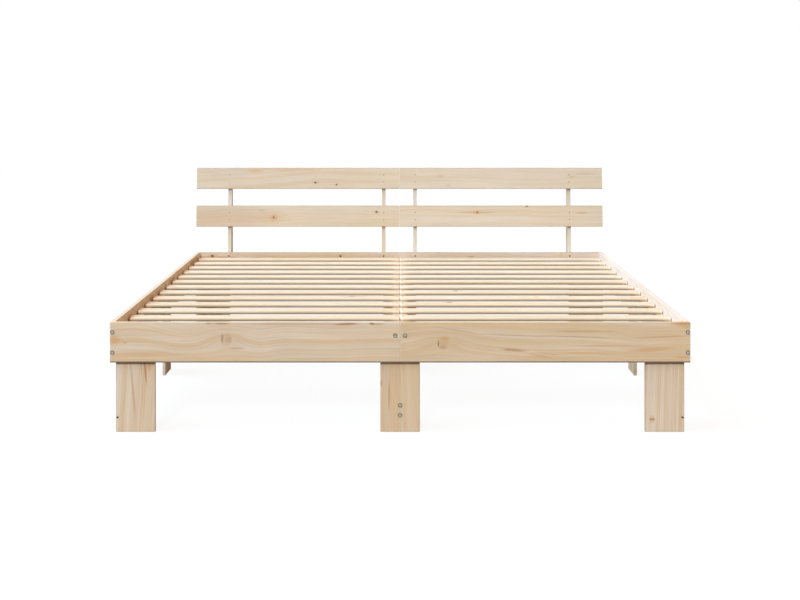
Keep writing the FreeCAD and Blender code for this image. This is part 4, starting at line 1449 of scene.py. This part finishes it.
@dataclass(frozen=True)
class ZincFinish:
    """Mottled zinc plating on a small fastener, with painted shade round the rim of a head."""

    bright: Colour = shade(210, 204, 196)
    dull: Colour = shade(150, 143, 134)
    # Painted shade round the rim of a bolt head
    grime: Colour = shade(58, 50, 42)

    GROUP = "zinc_plating"
    MOTTLE_SCALE = (260.0, 260.0, 260.0)
    MOTTLE_SPAN = (0.3, 0.7)
    DIRT_SCALE = (900.0, 900.0, 900.0)
    RING_UNEVEN_REACH = 0.2
    RING_SPAN = (0.6, 0.85)
    ROUGHNESS = 0.22
    DIRT_ROUGHNESS = 0.3

    def material(self, name: str) -> Material:
        """Build the plating under one name.

        Args:
            name: Name of the material.

        Returns:
            The material.
        """
        material = bpy.data.materials.new(name)
        material.use_nodes = True
        bench = Bench(material.node_tree)
        shader = material.node_tree.nodes["Principled BSDF"]
        source = bench.add("ShaderNodeTexCoord")
        rim = bench.add("ShaderNodeAttribute", attribute_name=RIM_SHARE)
        plating = bench.use(self._plating(), self, coordinates=source.outputs["Object"],
                            rim_share=rim.outputs["Fac"])
        shader.inputs["Metallic"].default_value = 1.0
        bench.feed(shader.inputs["Base Color"], plating["Colour"])
        bench.feed(shader.inputs["Roughness"], plating["Roughness"])
        return material

    def _plating(self) -> Tree:
        """Build the shared group once.

        Returns:
            A group that gives the plating's colour and roughness.
        """
        if self.GROUP in bpy.data.node_groups:
            return bpy.data.node_groups[self.GROUP]
        bench = Bench.group(
            self.GROUP,
            {VECTOR: ("Coordinates",), FLOAT: ("Rim Share",), COLOUR: ("Bright", "Dull", "Grime")},
            {COLOUR: ("Colour",), FLOAT: ("Roughness",)})
        place = bench.source("Coordinates")
        mottle = bench.step(bench.noise(place, self.MOTTLE_SCALE, detail=3.0), *self.MOTTLE_SPAN)
        dirt = bench.noise(place, self.DIRT_SCALE)
        plated = bench.mix(mottle, bench.source("Dull"), bench.source("Bright"))
        uneven = bench.sway(dirt, self.RING_UNEVEN_REACH)
        # ring: painted shade round the rim; it also roughens the plating
        ring = bench.step(bench.total(bench.source("Rim Share"), uneven), *self.RING_SPAN)
        bench.give("Colour", bench.mix(ring, plated, bench.source("Grime")))
        rough = bench.line(dirt, self.DIRT_ROUGHNESS, self.ROUGHNESS)
        bench.give("Roughness", bench.line(ring, self.DIRT_ROUGHNESS, rough))
        return bench.tree


BOLT_FINISH = ZincFinish()
SCREW_FINISH = ZincFinish(shade(118, 98, 78), shade(78, 62, 48))
HEADBOARD_SCREW_FINISH = ZincFinish(shade(196, 176, 150), shade(160, 140, 116))


@dataclass(frozen=True)
class HexBolt:
    """A bolt with a rounded rim and a hexagon socket, along Z with the top of its head at zero."""

    head_radius: float = 0.0075
    head_height: float = 0.0025
    rim: float = 0.0021
    rim_segments: int = 5
    socket_flats: float = 0.004
    socket_depth: float = 0.0018
    collar_share: float = 1.25
    shank_radius: float = 0.003
    sides: int = 40
    smooth_degrees: float = 35.0

    SOCKET_SIDES = 6
    NEAR_ZERO = 1e-6
    FACING_SHARE = 0.9

    def model(self, shank: float) -> Piece:
        """Model one bolt.

        Args:
            shank: Length of the shank below the head.

        Returns:
            The bolt, with the attribute that its plating reads.
        """
        bpy.ops.object.select_all(action="DESELECT")
        middle = (0.0, 0.0, -self.head_height / 2)
        bpy.ops.mesh.primitive_cylinder_add(vertices=self.sides, radius=self.head_radius,
                                            depth=self.head_height, location=middle)
        bolt = bpy.context.active_object
        bpy.ops.object.transform_apply(location=True, rotation=True, scale=True)
        bpy.ops.object.mode_set(mode="EDIT")
        self._pick_rim(bolt)
        bpy.ops.mesh.bevel(offset=self.rim, segments=self.rim_segments, affect="EDGES")
        self._cut_socket(bolt)
        self._pick_cap(bolt, -1.0)
        bpy.ops.mesh.inset(thickness=self.head_radius - self.shank_radius)
        bpy.ops.mesh.extrude_region_move(TRANSFORM_OT_translate={"value": (0.0, 0.0, -shank)})
        bpy.ops.mesh.select_all(action="SELECT")
        bpy.ops.mesh.normals_make_consistent(inside=False)
        bpy.ops.object.mode_set(mode="OBJECT")
        bpy.ops.object.shade_smooth_by_angle(angle=math.radians(self.smooth_degrees))
        self._mark_rim(bolt)
        return bolt

    def _cut_socket(self, bolt: Piece) -> None:
        """Open the top of the head, bridge it to a hexagon and sink that to a floor.

        Args:
            bolt: The bolt, in edit mode.
        """
        corner = self.socket_flats / 2 / math.cos(math.pi / self.SOCKET_SIDES)
        self._pick_cap(bolt, 1.0)
        bpy.ops.mesh.inset(thickness=self.head_radius - self.rim - corner * self.collar_share)
        bpy.ops.mesh.delete(type="FACE")
        self._pick_open_edges()
        bpy.ops.object.mode_set(mode="OBJECT")
        collar = [edge.index for edge in bolt.data.edges if edge.select]
        bpy.ops.object.mode_set(mode="EDIT")
        bpy.ops.mesh.select_all(action="DESELECT")
        bpy.ops.mesh.primitive_circle_add(vertices=self.SOCKET_SIDES, radius=corner, fill_type="NOTHING")
        bpy.ops.object.mode_set(mode="OBJECT")
        for index in collar:
            bolt.data.edges[index].select = True
        bpy.ops.object.mode_set(mode="EDIT")
        bpy.ops.mesh.select_mode(type="EDGE")
        bpy.ops.mesh.bridge_edge_loops()
        self._pick_open_edges()
        bpy.ops.mesh.extrude_edges_move(TRANSFORM_OT_translate={"value": (0.0, 0.0, -self.socket_depth)})
        bpy.ops.mesh.edge_face_add()

    def _mark_rim(self, bolt: Piece) -> None:
        """Keep each point's distance from the axis, as a share of the head's radius.

        Args:
            bolt: The bolt, in object mode.
        """
        shares = bolt.data.attributes.new(RIM_SHARE, "FLOAT", "POINT")
        for vertex, share in zip(bolt.data.vertices, shares.data):
            share.value = vertex.co.xy.length / self.head_radius

    def _pick_open_edges(self) -> None:
        """Select the edges that border a single face."""
        bpy.ops.mesh.select_mode(type="EDGE")
        bpy.ops.mesh.select_all(action="DESELECT")
        bpy.ops.mesh.select_non_manifold(extend=False, use_wire=False, use_multi_face=False,
                                         use_non_contiguous=False, use_verts=False)

    def _pick_rim(self, bolt: Piece) -> None:
        """Select the edges round the top of the head.

        Args:
            bolt: The bolt, in edit mode.
        """
        bpy.ops.mesh.select_mode(type="EDGE")
        bpy.ops.mesh.select_all(action="DESELECT")
        bpy.ops.object.mode_set(mode="OBJECT")
        vertices = bolt.data.vertices
        for edge in bolt.data.edges:
            edge.select = all(abs(vertices[index].co.z) < self.NEAR_ZERO for index in edge.vertices)
        bpy.ops.object.mode_set(mode="EDIT")

    def _pick_cap(self, bolt: Piece, way: float) -> None:
        """Select a flat end of the head.

        Args:
            bolt: The bolt, in edit mode.
            way: 1 for the end that faces up, -1 for the one that faces down.
        """
        bpy.ops.mesh.select_mode(type="FACE")
        bpy.ops.mesh.select_all(action="DESELECT")
        bpy.ops.object.mode_set(mode="OBJECT")
        for face in bolt.data.polygons:
            if len(face.vertices) == self.sides and face.normal.z * way > self.FACING_SHARE:
                face.select = True
        bpy.ops.object.mode_set(mode="EDIT")


@dataclass
class Fasteners:
    """The bolts, modelled again, and the plating of all fasteners."""

    bolt: HexBolt = HexBolt()
    long_shank: float = 0.06
    short_shank: float = 0.045
    two_row_radii: float = 3.0

    def dress(self) -> None:
        """Model the bolts and plate every fastener."""
        bolt_zinc = BOLT_FINISH.material("bolt_zinc")
        shanks = {"corner_bolts": self.long_shank, "beam_bolts": self.long_shank,
                  "rib_bolts": self.short_shank}
        for node, shank in shanks.items():
            piece = self._bolts(node, shank)
            piece.data.materials.append(bolt_zinc)
            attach(piece, "root")
            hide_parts(node)
            log.info("%s: modelled again", node)
        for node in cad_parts:
            if node.endswith(("_nuts", "_screws")):
                finish = HEADBOARD_SCREW_FINISH if node == "headboard_screws" else SCREW_FINISH
                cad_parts[node].material_slots[0].material = finish.material(f"{node}_zinc")
                log.info("%s: plated", node)

    def _places(self, node: str) -> list[tuple[Vector, float]]:
        """Find the bolts of one node.

        Args:
            node: Name of the node.

        Returns:
            The middle of each head's top, and 1 for a bolt that points away from the foot end or -1.
        """
        low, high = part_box(node)
        radius = self.bolt.head_radius
        right = high.x - radius
        heights = [low.z + radius]
        if high.z - low.z > self.two_row_radii * radius:
            heights.append(high.z - radius)
        across = (-right, right)
        faces = [(low.y, 1.0), (high.y, -1.0)]
        if node == "rib_bolts":
            across = (0.0,)
            faces.insert(1, (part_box("mid_centre_leg_face")[0].y - self.bolt.head_height, 1.0))
        return [(Vector((x, y, z)), way) for x in across for z in heights for y, way in faces]

    def _bolts(self, node: str, shank: float) -> Piece:
        """Model one bolt and set a copy at each place of a node.

        Args:
            node: Name of the node.
            shank: Length of its bolts' shanks.

        Returns:
            All bolts of the node, joined to one piece.
        """
        pattern = self.bolt.model(shank)
        copies = []
        for place, way in self._places(node):
            copy = bpy.data.objects.new(node, pattern.data.copy())
            bpy.context.scene.collection.objects.link(copy)
            turn = Matrix.Rotation(QUARTER_TURN * way, 4, "X")
            copy.data.transform(Matrix.Translation(place) @ turn)
            copies.append(copy)
        bpy.data.objects.remove(pattern)
        bpy.ops.object.select_all(action="DESELECT")
        for copy in copies:
            copy.select_set(True)
        bpy.context.view_layer.objects.active = copies[0]
        bpy.ops.object.join()
        piece = bpy.context.view_layer.objects.active
        piece.name = f"{node}_modelled"
        return piece


@dataclass(frozen=True)
class Sun:
    """A soft distant lamp: where it shines from, its strength, how wide it looks and its colour."""

    name: str
    source: Triple
    strength: float
    width_degrees: float
    colour: Triple


@dataclass
class Studio:
    """A pale floor, soft light from the front and both sides, and the camera in front of the foot end."""

    floor_radius: float = 14.0
    floor_sides: int = 96
    floor_colour: Colour = (0.1, 0.1, 0.1, 1.0)
    floor_mottle: Colour = (0.097, 0.097, 0.097, 1.0)
    floor_mottle_scale: Triple = (1.5, 1.5, 1.5)
    floor_glow: float = 0.91
    ambient: float = 0.27
    ambient_colour: Colour = (1.45, 0.93, 0.5, 1.0)
    camera_place: Triple = (-0.008, -5.78621, 1.213)
    lens: float = 60.1
    shift_x: float = 0.0027
    shift_y: float = -0.2619
    lamp_distance: float = 5.0
    suns: tuple[Sun, ...] = (
        Sun("front", (-0.15, -0.86, 0.5), 1.95, 10.0, (0.89, 0.99, 1.06)),
        Sun("left", (-0.76, -0.05, 0.65), 3.0, 60.0, (0.8, 1.05, 1.29)),
        Sun("right", (0.85, -0.25, 0.45), 0.35, 50.0, (1.25, 0.95, 0.6)),
    )

    def set_up(self) -> None:
        """Build the floor, the world, the lamps and the camera."""
        self._floor()
        self._world()
        for sun in self.suns:
            self._lamp(sun)
        self._camera()
        bpy.context.scene.view_settings.view_transform = "Standard"
        log.info("studio: %d lamps", len(self.suns))

    def _seen(self, bench: Bench) -> Socket:
        """Tell what shows in the picture from what only lights the bed.

        Args:
            bench: Bench on the floor's or the world's tree.

        Returns:
            1 for what the camera sees straight on, in a reflection or through something clear.
        """
        path = bench.add("ShaderNodeLightPath")
        direct = bench.math("MAXIMUM", path.outputs["Is Camera Ray"], path.outputs["Is Glossy Ray"])
        return bench.math("MAXIMUM", direct, path.outputs["Is Transmission Ray"])

    def _floor(self) -> None:
        """A wide disc that shows white and still takes the shadow."""
        bpy.ops.object.select_all(action="DESELECT")
        bpy.ops.mesh.primitive_circle_add(vertices=self.floor_sides, radius=self.floor_radius,
                                          fill_type="NGON")
        floor = bpy.context.active_object
        floor.name = "studio_floor"
        floor.data.materials.append(self._floor_material())
        floor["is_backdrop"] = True

    def _floor_material(self) -> Material:
        """Build the floor's matte paint, with a glow that only shows in the picture.

        Returns:
            The material.
        """
        material = bpy.data.materials.new("studio_floor")
        material.use_nodes = True
        bench = Bench(material.node_tree)
        nodes = material.node_tree.nodes
        nodes.remove(nodes["Principled BSDF"])
        source = bench.add("ShaderNodeTexCoord")
        mottle = bench.noise(source.outputs["Object"], self.floor_mottle_scale)
        matte = bench.add("ShaderNodeBsdfDiffuse")
        bench.feed(matte.inputs["Color"], bench.mix(mottle, self.floor_colour, self.floor_mottle))
        glow = bench.add("ShaderNodeEmission")
        bench.feed(glow.inputs["Strength"], bench.product(self._seen(bench), self.floor_glow))
        both = bench.add("ShaderNodeAddShader")
        bench.feed(both.inputs[0], matte.outputs[0])
        bench.feed(both.inputs[1], glow.outputs[0])
        bench.feed(nodes["Material Output"].inputs["Surface"], both.outputs[0])
        return material

    def _world(self) -> None:
        """Even light all round, white where it is seen."""
        world = bpy.data.worlds.new("studio")
        bpy.context.scene.world = world
        world.use_nodes = True
        bench = Bench(world.node_tree)
        background = world.node_tree.nodes["Background"]
        seen = self._seen(bench)
        bench.feed(background.inputs["Color"], bench.mix(seen, self.ambient_colour, WHITE))
        bench.feed(background.inputs["Strength"], bench.line(seen, 1.0 - self.ambient, self.ambient))

    def _lamp(self, sun: Sun) -> None:
        """Hang one soft distant lamp.

        Args:
            sun: The lamp.
        """
        data = bpy.data.lights.new(sun.name, "SUN")
        data.energy = sun.strength
        data.angle = math.radians(sun.width_degrees)
        data.color = sun.colour
        lamp = bpy.data.objects.new(sun.name, data)
        bpy.context.scene.collection.objects.link(lamp)
        lamp.location = Vector(sun.source) * self.lamp_distance
        lamp.rotation_euler = (-Vector(sun.source)).to_track_quat("-Z", "Y").to_euler()

    def _camera(self) -> None:
        """Set up a level camera, its picture shifted down to the bed."""
        data = bpy.data.cameras.new("camera")
        data.lens = self.lens
        data.shift_x = self.shift_x
        data.shift_y = self.shift_y
        camera = bpy.data.objects.new("camera", data)
        bpy.context.scene.collection.objects.link(camera)
        camera.location = self.camera_place
        camera.rotation_euler = (QUARTER_TURN, 0.0, 0.0)
        bpy.context.scene.camera = camera


def write_sizes() -> None:
    """Work out the box of the frame as loaded and the box of the finished looks."""
    boxes = {"cad": cad_box, "visual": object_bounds()}
    {name: [list(corner) for corner in box] for name, box in boxes.items()}


def main() -> None:
    """Dress every board and fastener, then set up the studio."""
    effects = PineEffects()
    for assembly in (RailBox(), LegSet(), SlattedBase(), Headboard()):
        assembly.dress(effects)
    Fasteners().dress()
    Studio().set_up()
    write_sizes()


if __name__ == "__main__":
    logging.basicConfig(level=logging.INFO, format="%(message)s")
    main()
